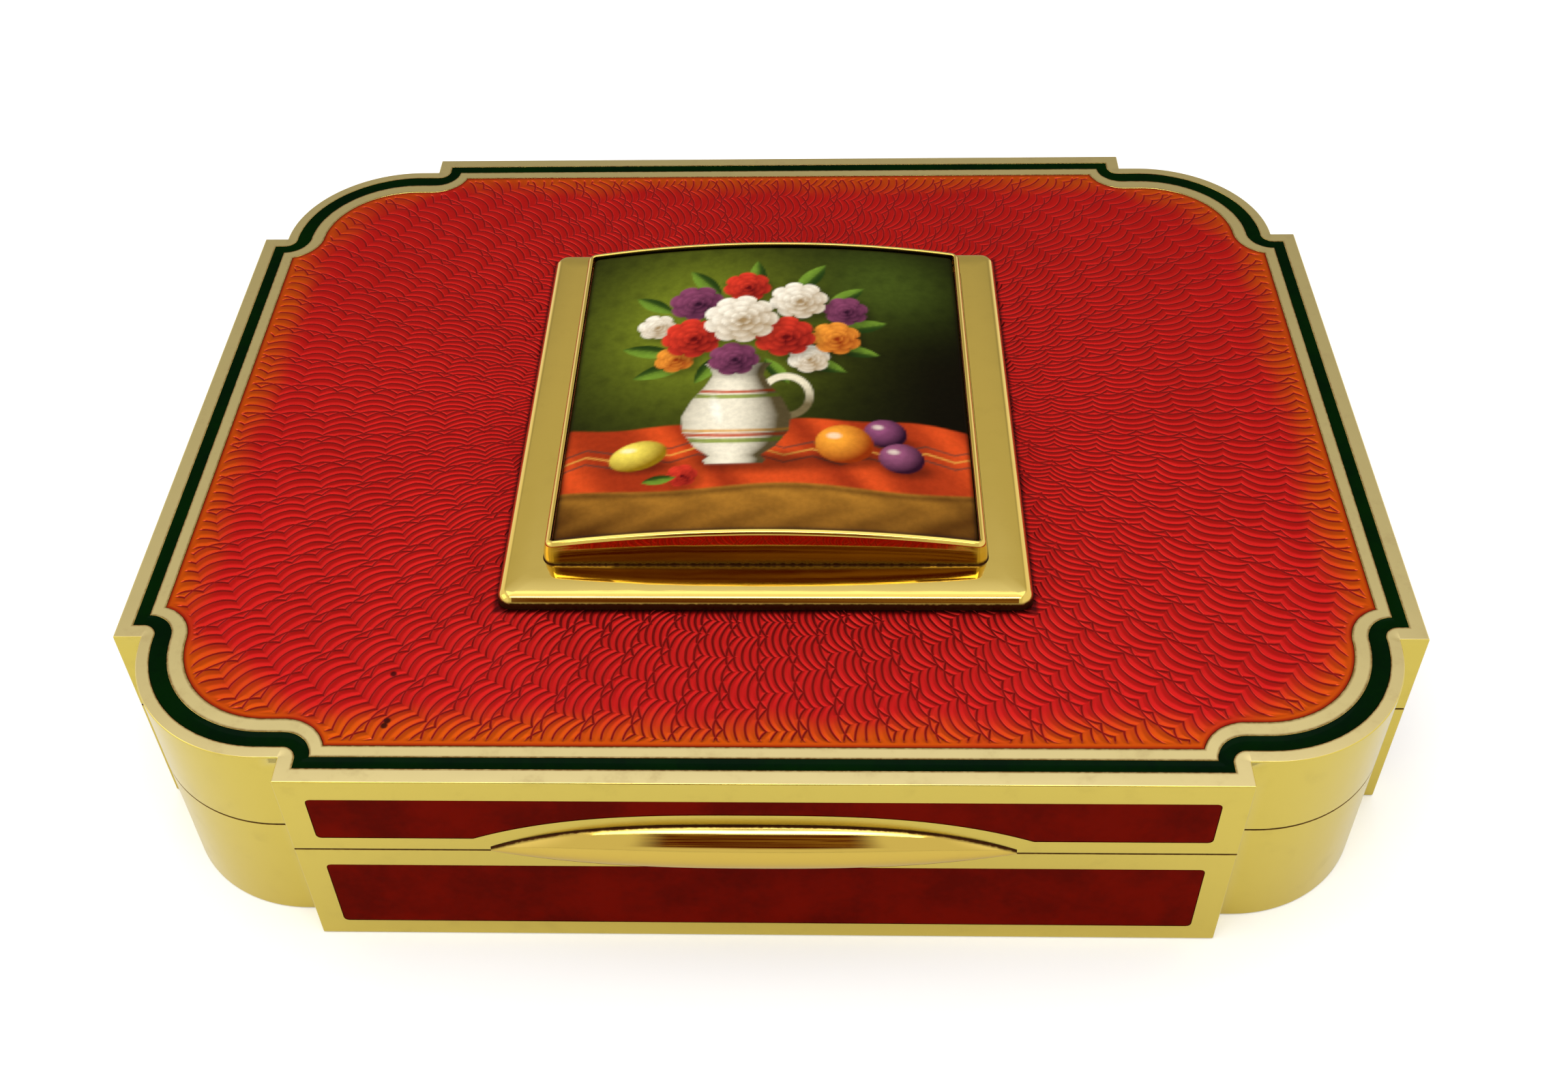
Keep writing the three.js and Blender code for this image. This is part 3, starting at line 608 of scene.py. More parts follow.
def sheet_copper(name):
    """Annealed sheet copper: matt, with brown fire stains some 4 mm wide."""
    colours = bpy.context.scene.box_colours
    material, tree, place = new_material(name)
    stain = add(tree, "ShaderNodeTexNoise", {"Vector": place, "Scale": 1 / 4, "Detail": 5.0})
    cover = add(tree, "ShaderNodeMapRange", [stain, 0.4, 0.7, 0.0, 0.7], **SMOOTH)
    fill = {0: cover, 6: colours.copper[:], 7: colours.fire_stain[:]}
    base = add(tree, "ShaderNodeMix", fill, **TINTS).outputs[2]
    shader = add(tree, "ShaderNodeBsdfPrincipled", {"Base Color": base, "Metallic": 1.0, "Roughness": 0.42})
    add(tree, "ShaderNodeOutputMaterial", {"Surface": shader})
    return material


# Each finish: the name of its material, the function that makes it, and its settings
FINISHES = {
    "gilt": (
        "hand-polished silver-gilt",
        gilded_silver,
        {"metal": "gilt", "roughness": 0.2, "film": 0.1, "edge": "at_seam"},
    ),
    "worn": (
        "wiped silver-gilt of the borders",
        gilded_silver,
        {"metal": "worn_gilt", "roughness": 0.3, "film": 0.22, "edge": "near_enamel"},
    ),
    "mirror": (
        "mirror-polished silver-gilt",
        gilded_silver,
        {
            "metal": "mirror_gilt",
            "roughness": 0.06,
            "film": 0.05,
            "stain": "grime_and_shade",
            "stroke": LONG_STROKES,
            "bump": 0.4,
            "edge": "at_foot",
        },
    ),
    "inside": (
        "satin silver-gilt of the inside",
        gilded_silver,
        {"metal": "inside_gilt", "roughness": 0.3, "film": 0.16, "stroke": LONG_STROKES, "bump": 0.8},
    ),
    "crimson": ("crimson enamel over engine-turned silver", turned_enamel, {}),
    "oxblood": (
        "oxblood enamel over plain silver",
        plain_enamel,
        {"colour": "oxblood", "deep": "oxblood_dark", "patch": 7.0, "share": 0.55},
    ),
    "green": (
        "bottle-green enamel over plain silver",
        plain_enamel,
        {"colour": "green", "deep": "green_dark", "patch": 12.0, "share": 0.6},
    ),
    "painted": ("painted enamel under clear flux", painted_enamel, {}),
    "copper": ("annealed sheet copper", sheet_copper, {}),
}


def material_of(finish):
    """Each material once, made when a piece first asks for it."""
    name, make, settings = FINISHES[finish]
    return bpy.data.materials.get(name) or make(name, **settings)


def band_outline(half, low, high, corner, inset, arched=None):
    """The shape of a side enamel in X and Z, moved in by a distance. An arch may rise from its lower edge."""
    half, low, high, radius = half - inset, low + inset, high - inset, corner - inset
    middle = []
    if arched:
        reach, foot, top = arched
        for u in np.linspace(-1, 1, ARCH_STEPS + 1):
            rise = (top - foot) * (1 - abs(u) ** THUMB_FULLNESS)
            middle.append((THUMB_SHIFT + reach * u, foot + rise + inset))
    return [
        *arc(-half + radius, low + radius, radius, 180, 270, 3),
        *middle,
        *arc(half - radius, low + radius, radius, 270, 360, 3),
        *arc(half - radius, high - radius, radius, 0, 90, 3),
        *arc(-half + radius, high - radius, radius, 90, 180, 3),
    ]


def turned_about(points, quarter_turns):
    """Points turned about Z by quarter turns."""
    for _ in range(quarter_turns):
        points = [(-y, x, z) for x, y, z in points]
    return points


def band_rings(s, side, low, high, arched, profile):
    """Rings of a side enamel, or of the cutter for its bed, through a profile of inset and depth."""
    face = s.plan_depth / 2 if side % 2 == 0 else s.plan_width / 2
    half = (s.panel_half if side % 2 == 0 else s.side_half) - s.band_margin
    rings = []
    for inset, depth in profile:
        shape = band_outline(half, low, high, s.band_corner, inset, arched)
        rings.append(turned_about([(x, -face + depth, z) for x, z in shape], side))
    return rings


SIDES = ("front", "right", "rear", "left")


def arch_of(s):
    """Half width, foot and top of the arch over the thumb piece."""
    return s.thumb_half + ARCH_END, s.base_height + s.lid_band_foot, s.lid_top - s.lid_band_head - s.arch_neck


def band_levels(s, part):
    """Lower and upper edge of the enamel on one half."""
    if part == "base":
        return s.base_band_foot, s.base_height - s.base_band_head
    return s.base_height + s.lid_band_foot, s.lid_top - s.lid_band_head


def about_pin(s, profile, steps=ROUND_STEPS):
    """Rings about the hinge's axis, through a profile of place along it and radius."""
    return [
        [(x, s.hinge_y + b, s.base_height + c) for b, c in arc(0, 0, r, 0, 360, steps)[1:]]
        for x, r in profile
    ]


def cove_cutter(s):
    """The round hollow along the back that the knuckles lie in."""
    return solid("cove", skin(about_pin(s, [(x, s.cove_radius) for x in (-s.panel_half, s.panel_half)])))


def wall_ring(s, part):
    """The walls of one half: a profile led round the plan, with beds for the enamel and a hollow for
    the hinge."""
    soft, stain = s.seam_round, 0.12  # how far the painted seam shade and dirt reach into the seam
    if part == "base":
        profile = arc(s.foot_round, s.foot_round, s.foot_round, 270, 180, EDGE_STEPS)
        profile += arc(soft, s.base_height - soft, soft, 180, 90, EDGE_STEPS)
        profile += [(soft + stain, s.base_height), (s.wall, s.base_height), (s.wall, 0)]
        seam = s.base_height
    else:
        profile = [(s.wall, s.lid_under), (s.wall, s.lid_foot), (soft + stain, s.lid_foot)]
        profile += arc(soft, s.lid_foot + soft, soft, 270, 180, EDGE_STEPS)
        profile += [(0, s.lid_under)]
        seam = s.lid_foot
    rings = [at_height(outline(s, inset), z) for inset, z in profile]
    # Dirt and painted shade darken the two edges that meet at the seam
    grime_and_shade = [
        2.5 * (1 - abs(z - seam) / soft) if inset <= soft and abs(z - seam) < soft else 0
        for inset, z in profile
    ]
    fields = {"at_seam": np.repeat(grime_and_shade, len(rings[0]))}
    ring = solid(f"{part}_wall_ring", skin(rings, joined=True), fields)
    cutters = [cove_cutter(s)]
    for side in range(4):
        arched = arch_of(s) if part == "lid" and side == 0 else None
        rings = band_rings(s, side, *band_levels(s, part), arched, [(0, -1.0), (0, s.band_depth)])
        cutters.append(solid("bed", skin(rings)))
    return changed(ring, cutters)


class BOX_OT_walls(bpy.types.Operator):
    """Builds the gilt walls of the base and of the lid"""

    bl_idname = "table_box.walls"
    bl_label = "Walls"

    def execute(self, context):
        s = sizes()
        for part in ("base", "lid"):
            fitted(wall_ring(s, part), part, "gilt", [f"{part}_walls"], material_of("gilt"))
        return {"FINISHED"}


class BOX_OT_side_enamels(bpy.types.Operator):
    """Lays the enamel bands into the four sides of both halves"""

    bl_idname = "table_box.side_enamels"
    bl_label = "Side enamels"

    def execute(self, context):
        s = sizes()
        gap = s.inlay_gap
        profile = [(gap, s.band_depth - 0.01), (gap, 0.06), (gap + 0.05, 0.02), (gap + 0.16, 0.0)]
        for part in ("base", "lid"):
            for side, name in enumerate(SIDES):
                arched = arch_of(s) if part == "lid" and side == 0 else None
                rings = band_rings(s, side, *band_levels(s, part), arched, profile)
                band = solid(f"{part}_{name}_band", skin(rings))
                fitted(band, part, "band_enamel", [f"{part}_{name}_enamel"], material_of("oxblood"))
        return {"FINISHED"}


# The posts of the mount plate, in from its edges, and the holes that they go down through
POST_INSET = 9.0
POST_X = MOUNT.x / 2 - POST_INSET
POST_Y = MOUNT.y / 2 - POST_INSET
POST_RADIUS = 1.0
POST_HOLE = 1.2


def four_bars(name, ends):
    """A round bar in the place of each post, through a profile of radius and height."""
    return [
        solid(name, skin([at_height(arc(x, y, r, 0, 360, POST_STEPS)[1:], z) for r, z in ends]))
        for x in (-POST_X, POST_X)
        for y in (MOUNT_Y - POST_Y, MOUNT_Y + POST_Y)
    ]


class BOX_OT_lid_top(bpy.types.Operator):
    """Builds the lid's gilt top, with a groove for the green line and a bed for the red panel"""

    bl_idname = "table_box.lid_top"
    bl_label = "Lid top"

    def execute(self, context):
        s = sizes()
        top, bed = s.lid_top, s.lid_top - s.enamel_depth
        soft, stain = 0.012, 0.24  # rounding of the edges beside enamel, and reach of the stain there
        inner = s.line_inset + s.line_width
        # inset, height, nearness to enamel
        profile = [(0, s.lid_under, 0)]
        edge = arc(s.top_round, top - s.top_round, s.top_round, 180, 90, EDGE_STEPS)
        profile += [(i, z, 0) for i, z in edge]
        profile += [
            (s.line_inset - stain, top, 0),
            (s.line_inset - soft, top, 1.2),
            (s.line_inset, top - soft, 2.2),
            (s.line_inset, bed, 2.2),
            (inner, bed, 2.2),
            (inner, top - soft, 2.2),
            (inner + soft, top, 1.2),
            (inner + stain, top, 0),
            (s.panel_inset - stain, top, 0),
            (s.panel_inset - soft, top, 1.2),
            (s.panel_inset, top - soft, 2.2),
            (s.panel_inset, bed, 2.2),
        ]
        rings = [at_height(inlay_outline(s, inset), z) for inset, z, _ in profile]
        count = len(rings[0])
        near = np.repeat([n for _, _, n in profile], count)
        plate = solid("lid_top_plate", skin(rings), {"near_enamel": near})
        changed(plate, four_bars("hole", [(POST_HOLE, s.lid_under - 1), (POST_HOLE, top + 1)]))
        fitted(plate, "lid", "gilt", ["lid_top"], material_of("gilt"), material_of("worn"))
        for face in plate.data.polygons:
            face.material_index = int(face.normal.z > 0.9)
        return {"FINISHED"}


def measure_inset(s, mesh):
    """Gives each vertex its distance from the outline of the box, in millimetres, and less of it where
    the outline bends round the vertex. Enamel is drawn thin by all of the edge that is near.
    A second field holds the true distance from the panel's border."""
    reach = 2.5
    straight = 9.5  # what a straight edge sums to at the border of the panel
    places = np.array([v.co[:2] for v in mesh.vertices]) / MM
    ends = np.array(outline(s, 0.01))
    along = np.roll(ends, -1, 0) - ends
    steps = np.linspace(0, 1, 24, endpoint=False)
    points = (ends[:, None] + along[:, None] * steps[:, None]).reshape(-1, 2)
    lengths = np.repeat(np.linalg.norm(along, axis=1) / len(steps), len(steps))
    rim = np.array(inlay_outline(s, s.panel_inset + s.inlay_gap))
    rim = np.vstack([rim + (np.roll(rim, -1, 0) - rim) * t for t in steps])
    inset, border = [], []
    for place in places:
        gaps = np.linalg.norm(points - place, axis=1)
        summed = -reach * math.log((lengths * np.exp(-gaps / reach)).sum() / straight + 1e-9)
        inset.append(gaps.min() + 1.8 * (summed - gaps.min()))
        border.append(np.linalg.norm(rim - place, axis=1).min())
    for field, values in (("inset", inset), ("border", border)):
        mesh.attributes.new(field, "FLOAT", "POINT").data.foreach_set("value", np.array(values, np.float32))


class BOX_OT_top_enamels(bpy.types.Operator):
    """Lays the red panel and the green line into the lid's top"""

    bl_idname = "table_box.top_enamels"
    bl_label = "Top enamels"

    def execute(self, context):
        s = sizes()
        top, bed, gap = s.lid_top, s.lid_top - s.enamel_depth + 0.01, s.inlay_gap
        edge = s.panel_inset + gap
        profile = [(edge, bed), (edge, top - 0.03), (edge + 0.03, top - 0.003), (edge + 0.2, top)]
        profile += [(edge + reach, top) for reach in (0.5, 1, 1.7, 2.6, 4, 6, 9)]
        rings = [at_height(inlay_outline(s, inset), z) for inset, z in profile]
        panel = solid("turned_enamel_panel", skin(rings))
        changed(panel, four_bars("hole", [(POST_HOLE, bed - 1), (POST_HOLE, top + 1)]))
        measure_inset(s, panel.data)
        fitted(panel, "lid", "top_enamel", ["top_enamel"], material_of("crimson"))

        near, far = s.line_inset + gap, s.line_inset + s.line_width - gap
        # The line is polished a little hollow, as soft enamel wears between hard metal
        shares = (0, 0.08, 0.25, 0.5, 0.75, 0.92, 1)
        across = [(near + (far - near) * t, top - 0.03 - 0.16 * t * (1 - t)) for t in shares]
        rings = [at_height(inlay_outline(s, inset), z) for inset, z in [(near, bed), *across, (far, bed)]]
        line = solid("green_line", skin(rings, joined=True))
        fitted(line, "lid", "green_enamel", ["green_enamel_line"], material_of("green"))
        return {"FINISHED"}


class BOX_OT_thumb_piece(bpy.types.Operator):
    """Builds the polished thumb piece: a bead that swells in the middle and thins out to both ends"""

    bl_idname = "table_box.thumb_piece"
    bl_label = "Thumb piece"

    def execute(self, context):
        s = sizes()
        rise_top = s.lid_top - s.lid_band_head - s.arch_neck - s.arch_strip - s.lid_foot + 0.12
        centre = s.thumb_out - s.thumb_round
        reach = s.thumb_round + s.thumb_fillet
        lean = math.asin((s.thumb_fillet - centre) / reach)
        level = rise_top - reach * math.cos(lean)
        start = 90 - math.degrees(lean)
        foot = -math.degrees(math.asin((level - 0.06) / s.thumb_round))
        section = arc(s.thumb_fillet, rise_top, s.thumb_fillet, 196, 180 + start, 10)
        section += arc(centre, level, s.thumb_round, start, foot, 36)[1:]
        section = [(0, section[0][1]), *section, (section[-1][0] - 0.06, 0)]
        rings, grime_and_shade = [], []
        for u in -np.cos(np.linspace(0, math.pi, 2 * ARCH_STEPS + 1)):
            out = THUMB_FOOT + (s.thumb_out - THUMB_FOOT) * (1 - abs(u) ** THUMB_BULGE)
            rise = THUMB_TIP + (rise_top - THUMB_TIP) * (1 - abs(u) ** THUMB_FULLNESS)
            x = THUMB_SHIFT + s.thumb_half * u
            ring = [(0, 0), *((out * o / s.thumb_out, rise * h / rise_top) for o, h in section)]
            rings.append([(x, -s.plan_depth / 2 - o, s.lid_foot + h) for o, h in ring])
            # Dried polish and painted shade darken the hollow between the bead and the wall
            along = np.cumsum([math.dist(ring[i], ring[i + 1]) for i in range(1, len(ring) - 1)])
            grime_and_shade += [0, 2.4, *np.clip(2.4 - 5.0 * along, 0, 2.4)]
        bead = solid("thumb_bead", skin(rings), {"at_foot": grime_and_shade})
        fitted(bead, "lid", "polished_gilt", ["thumb_piece"], material_of("mirror"))
        return {"FINISHED"}


class BOX_OT_mount(bpy.types.Operator):
    """Builds the plate that carries the plaque, with its four posts"""

    bl_idname = "table_box.mount"
    bl_label = "Mount plate"

    def execute(self, context):
        s = sizes()
        # The top falls towards its edge, until it meets the rounding at a tilt
        fall, run, tilt = 0.08, 2.0, 4.5
        level = MOUNT_TOP - fall - s.mount_round * math.cos(math.radians(tilt))
        rounding = arc(s.mount_round, level, s.mount_round, 180, 90 + tilt, 14)
        begun = rounding[-1][0]
        profile = [(0.1, s.lid_top), (0, s.lid_top + 0.1), *rounding]
        profile += [(begun + run * t, MOUNT_TOP - fall * (1 - t) ** 2) for t in (0.2, 0.4, 0.6, 0.8, 1)]
        half_x, half_y = MOUNT.x / 2, MOUNT.y / 2
        rings = []
        for i, z in profile:
            plan = rounded_rectangle(half_x - i, half_y - i, max(s.mount_corner - i, 1.0), cy=MOUNT_Y)
            rings.append(at_height(plan, z))
        # Painted shade, with old polish, darkens the foot of the plate where it meets the enamel
        grime_and_shade = np.zeros(len(rings) * len(rings[0]))
        grime_and_shade[: 8 * len(rings[0])] = np.repeat([2.4, 2.4, 2.2, 2, 1.8, 1.5, 1, 0.4], len(rings[0]))
        plate = solid("plaque_mount", skin(rings), {"at_foot": grime_and_shade})
        tail = corners("mount_plate")[0].z
        ends = [(0.8, tail), (POST_RADIUS, tail + 0.2), (POST_RADIUS, s.lid_top + 0.6)]
        changed(plate, four_bars("post", ends), "UNION")
        fitted(plate, "lid", "polished_gilt", ["mount_plate"], material_of("mirror"))
        for number in range(1, 5):
            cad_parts[f"mount_nut_{number}"].material_slots[0].material = material_of("inside")
        return {"FINISHED"}


def arch_over(s, x):
    """Height of the plaque's arch over its two sides."""
    half = BEZEL.x / 2
    bend = (half**2 + s.arch_rise**2) / (2 * s.arch_rise)
    return s.arch_rise - bend + math.sqrt(bend**2 - x**2)


class BOX_OT_bezel(bpy.types.Operator):
    """Builds the bezel, a thin polished wall round the plaque with a rolled lip"""

    bl_idname = "table_box.bezel"
    bl_label = "Bezel"

    def execute(self, context):
        s = sizes()
        foot = 0.12  # fillet of solder at the foot
        lean = 0.24  # how far the wall leans in where it was rubbed over the plaque
        outer, inner = 0.5, 0.16  # roundings of the lip
        # inset, height, and the share of the arched height that comes on top
        profile = [(-foot, 0, 0), (-0.3 * foot, 0.3 * foot, 0), (0, foot, 0)]
        profile += [(lean * t * t, foot * (1 - t) - outer * t, t) for t in (0.2, 0.4, 0.6, 0.8)]
        profile += [(i, z, 1) for i, z in arc(lean + outer, -outer, outer, 180, 90, 12)]
        profile += [(i, z, 1) for i, z in arc(s.bezel_wall - inner, -inner, inner, 90, 0, 6)]
        profile += [(s.bezel_wall, 0, 0)]
        rings = []
        for inset, z, share in profile:
            plan = rounded_rectangle(
                BEZEL.x / 2 - inset, BEZEL.y / 2 - inset, s.bezel_corner - inset, ARCH_STEPS, BEZEL_Y
            )
            rings.append([(x, y, MOUNT_TOP + z + share * (s.bezel_side + arch_over(s, x))) for x, y in plan])
        # Painted shade, with old polish, darkens the foot of the bezel
        grime_and_shade = np.zeros(len(rings) * len(rings[0]))
        grime_and_shade[: 3 * len(rings[0])] = np.repeat([2.4, 2.4, 1.2], len(rings[0]))
        wall = solid("bezel_wall", skin(rings, joined=True), {"at_foot": grime_and_shade})
        fitted(wall, "lid", "polished_gilt", ["bezel"], material_of("mirror"))
        return {"FINISHED"}


def soft_cover(distance, softness=0.18):
    """1 inside a shape and 0 outside, with a soft edge. The distance is below 0 inside."""
    t = np.clip(0.5 - distance / (2 * softness), 0, 1)
    return t * t * (3 - 2 * t)


def oval(x, y, cx, cy, rx, ry, turn=0.0):
    """How far points lie outside an oval, roughly, in millimetres."""
    c, d = math.cos(turn), math.sin(turn)
    u = ((x - cx) * c + (y - cy) * d) / rx
    v = (-(x - cx) * d + (y - cy) * c) / ry
    return (np.hypot(u, v) - 1) * min(rx, ry)


def paint_tone(colour):
    return np.array(linear(colour)[:3])


def lay(canvas, colour, cover):
    """Lays paint over what is there."""
    canvas += (colour - canvas) * cover[:, None]


def shaded(dark, light, share):
    """A tone for each point between two colours."""
    return paint_tone(dark) + (paint_tone(light) - paint_tone(dark)) * np.clip(share, 0, 1)[:, None]


def paint_bloom(canvas, x, y, cx, cy, radius, petals, dark, light, turn):
    """A full flower: four rings of petals, each smaller, dark at their feet and lit from the upper left."""
    across = np.hypot(x - cx, y - cy)
    around = np.arctan2(y - cy, x - cx)
    lay(canvas, paint_tone("#140F06"), 0.5 * soft_cover(oval(x, y, cx + 0.5, cy - 0.6, radius, radius), 0.9))
    for ring in range(4):
        reach = radius * (1 - 0.24 * ring)
        wave = np.abs(np.cos((petals - ring) / 2 * (around - turn - 0.8 * ring)))
        edge = reach * (0.82 + 0.18 * wave**0.5)
        share = 0.75 * (across / edge) ** 2 * (0.35 + 0.65 * wave**0.6) + 0.28 * np.cos(around - 2.3)
        lay(canvas, shaded(dark, light, share + 0.08), soft_cover(across - edge, 0.14))


def paint_leaf(canvas, x, y, cx, cy, reach, width, turn, dark, light):
    """A pointed leaf with a pale rib, one half darker than the other."""
    c, d = math.cos(turn), math.sin(turn)
    u = (x - cx) * c + (y - cy) * d
    v = -(x - cx) * d + (y - cy) * c
    edge = width * (1 - (u / reach) ** 2)
    halves = shaded(dark, light, 0.5 + 0.5 * np.tanh(v / (0.3 * width)))
    lay(canvas, halves, soft_cover(np.abs(v) - edge, 0.12))
    inside = soft_cover(np.abs(u) - 0.85 * reach) * soft_cover(np.abs(v) - 0.05, 0.08)
    lay(canvas, paint_tone(light), 0.6 * inside)


def paint_fruit(canvas, x, y, cx, cy, rx, ry, turn, dark, light):
    """A round fruit with a shadow under it and a light on its upper left."""
    shadow = oval(x, y, cx + 0.7, cy - 0.75 * ry, 1.1 * rx, 0.5 * ry)
    lay(canvas, paint_tone("#2A0C06"), 0.65 * soft_cover(shadow, 0.7))
    lit = 1 - oval(x, y, cx - 0.35 * rx, cy + 0.35 * ry, 1.35 * rx, 1.35 * ry, turn) / ry - 1.05
    lay(canvas, shaded(dark, light, lit), soft_cover(oval(x, y, cx, cy, rx, ry, turn), 0.12))
    shine = oval(x, y, cx - 0.35 * rx, cy + 0.42 * ry, 0.24 * rx, 0.16 * ry)
    lay(canvas, paint_tone("#FFF2D8"), 0.55 * soft_cover(shine, 0.2))


def paint_ground(canvas, x, y):
    """A dark olive wall with a glow of light, a red cloth with a woven border, and an ochre table."""
    canvas[:] = shaded("#1C1E08", "#0E0A03", np.clip((x - 2) / 16, 0, 1))
    glow = np.exp(-(((x + 8) / 11.5) ** 2) - ((y - 9) / 13.0) ** 2)
    lay(canvas, paint_tone("#7C8822"), 0.95 * glow)
    glow = np.exp(-(((x - 13) / 8.0) ** 2) - ((y - 17) / 7.0) ** 2)
    lay(canvas, paint_tone("#4A5A1A"), 0.7 * glow)
    brush = np.sin(0.8 * x + 1.1 * y) * np.sin(1.3 * x - 0.7 * y + 1.0) * np.sin(0.4 * x - 0.9 * y)
    lay(canvas, paint_tone("#0C0D04"), 0.22 * np.clip(brush, 0, 1))
    edge = -7.6 + 0.5 * np.sin(x / 6.5) + 0.25 * np.sin(x / 2.1)
    cloth = soft_cover(y - edge, 0.2)
    fold = 0.5 + 0.5 * np.sin(0.62 * x + 0.35 * y + 1.2 * np.sin(0.25 * y + 0.4 * x))
    lay(canvas, shaded("#7A1E0C", "#E0501E", 0.25 + 0.6 * fold), cloth)
    zigzag = np.abs((x / 3.0 + 0.4) % 2 - 1)
    for level, colour in ((-11.2, "#2C3A30"), (-12.3, "#E0A848"), (-13.4, "#2C3A30")):
        line = np.abs(y - level - 1.1 * (zigzag - 0.5) + 0.25 * np.sin(x / 5)) - 0.13
        lay(canvas, paint_tone(colour), 0.7 * soft_cover(line, 0.12) * cloth)
    hem = -17.6 + 0.45 * np.sin(x / 4.0 + 1.0)
    table = soft_cover(y - hem, 0.2)
    grain = 0.12 * np.sin(0.9 * x + 2.0 * np.sin(y)) - 0.5 * (np.abs(x) / 22) ** 3
    lay(canvas, shaded("#4E2C0A", "#A87226", (y + 27) / 9.5 + grain), table)
    shadow = soft_cover(np.abs(y - hem + 0.55) - 0.35, 0.5)
    lay(canvas, paint_tone("#3A1C08"), 0.6 * shadow * table)


def paint_jug(canvas, x, y):
    """A cream jug with painted stripes, a foot, a lip and a handle."""
    cx = -3.4
    levels = [-14.2, -13.6, -13.0, -11.5, -9.0, -6.5, -4.0, -1.5, 0.2, 1.4, 2.2]
    widths = [3.0, 3.3, 2.7, 4.3, 5.7, 5.9, 5.0, 3.5, 2.8, 3.1, 3.7]
    half = np.interp(y, levels, widths)
    inside = np.maximum(np.abs(x - cx) - half, np.maximum(-14.2 - y, y - 2.2))
    lay(canvas, paint_tone("#300E06"), 0.7 * soft_cover(oval(x, y, cx + 2.6, -13.9, 7.0, 1.5), 0.9))
    ring = np.abs(oval(x, y, cx + 5.3, -3.4, 2.6, 3.3)) - 0.42
    lay(canvas, shaded("#6E6040", "#E8DCBC", 0.5 + 0.3 * (y + 3)), soft_cover(ring, 0.14))
    turn = (x - cx) / half
    lit = 1 - 0.75 * (turn + 0.32) ** 2 - 0.12 * np.abs(turn)
    lay(canvas, shaded("#4E4228", "#F2E8CE", lit), soft_cover(inside, 0.13))
    body = soft_cover(inside, 0.13)
    sag = 0.28 * (1 - turn**2)
    for level, thick, colour in (
        (-10.4, 0.34, "#8A9A2C"),
        (-9.5, 0.26, "#C84A1E"),
        (-8.8, 0.2, "#E0A03C"),
        (-3.2, 0.3, "#8A9A2C"),
        (-2.4, 0.22, "#C84A1E"),
    ):
        line = np.abs(y - level + sag) - thick
        lay(canvas, paint_tone(colour) * np.clip(lit, 0.25, 1)[:, None], 0.9 * soft_cover(line, 0.12) * body)
    lay(canvas, paint_tone("#FFFBEA"), 0.7 * soft_cover(oval(x, y, cx - 2.2, -5.6, 0.5, 1.7, 0.2), 0.4))


def still_life(x, y):
    """A jug of flowers and some fruit on a cloth, as linear colours at points in millimetres from the
    middle."""
    canvas = np.zeros((len(x), 3))
    paint_ground(canvas, x, y)
    greens = ("#22380F", "#6E8E2C")
    for cx, cy, reach, width, turn in (
        (-11.8, 1.6, 3.6, 1.2, 3.5), (-13.6, 5.0, 3.2, 1.1, 2.9),
        (5.4, 2.2, 3.4, 1.2, -0.4), (10.4, 9.0, 3.0, 1.1, 0.3),
        (-7.6, 17.0, 3.2, 1.1, 2.2), (4.6, 17.8, 3.2, 1.1, 1.0),
        (-1.6, 18.2, 3.0, 1.0, 1.6), (9.4, 4.6, 3.0, 1.0, -0.2),
        (-13.4, 13.4, 2.8, 1.0, 2.5), (8.6, 14.4, 2.8, 1.0, 0.7),
        (-6.8, 1.4, 2.8, 1.0, 4.2), (0.8, 0.9, 2.6, 0.9, -1.0),
    ):
        paint_leaf(canvas, x, y, cx, cy, reach, width, turn, *greens)
    paint_jug(canvas, x, y)
    cream, red = ("#9A7E56", "#FBF2DE"), ("#5E0A0C", "#DC3A26")
    plum, orange = ("#2E1024", "#8A4464"), ("#8A2C08", "#F49A34")
    for cx, cy, radius, petals, tones, turn in (
        (-10.6, 3.4, 2.3, 6, orange, 0.4), (4.4, 3.0, 2.4, 6, cream, 1.4), (-13.0, 9.4, 2.2, 6, cream, 0.9),
        (8.6, 11.8, 2.6, 7, plum, 0.3), (-2.8, 16.2, 2.8, 7, red, 0.7), (-8.6, 13.4, 3.2, 7, plum, 1.1),
        (3.2, 13.6, 3.4, 8, cream, 0.2), (7.4, 6.8, 2.9, 7, orange, 0.5), (-8.8, 7.0, 3.5, 8, red, 0.1),
        (-4.0, 3.0, 2.9, 7, plum, 0.8), (1.6, 7.0, 3.6, 8, red, 0.6), (-3.4, 10.2, 4.3, 9, cream, 0.0),
    ):
        paint_bloom(canvas, x, y, cx, cy, radius, petals, *tones, turn)
    for cx, cy, rx, ry, turn, tones in (
        (12.6, -9.0, 2.3, 2.2, 0.0, ("#220A1E", "#8C4A6E")),
        (8.2, -11.0, 3.1, 3.0, 0.0, ("#8A2E06", "#F6A032")),
        (14.2, -12.8, 2.4, 2.3, 0.0, ("#2A0C20", "#945272")),
        (-13.6, -12.4, 3.1, 2.2, 0.3, ("#8A6A0C", "#F4DC5A")),
    ):
        paint_fruit(canvas, x, y, cx, cy, rx, ry, turn, *tones)
    paint_bloom(canvas, x, y, -8.8, -15.8, 1.7, 6, *red, 0.2)
    paint_leaf(canvas, x, y, -11.2, -16.3, 1.8, 0.7, 3.3, *greens)
    return canvas


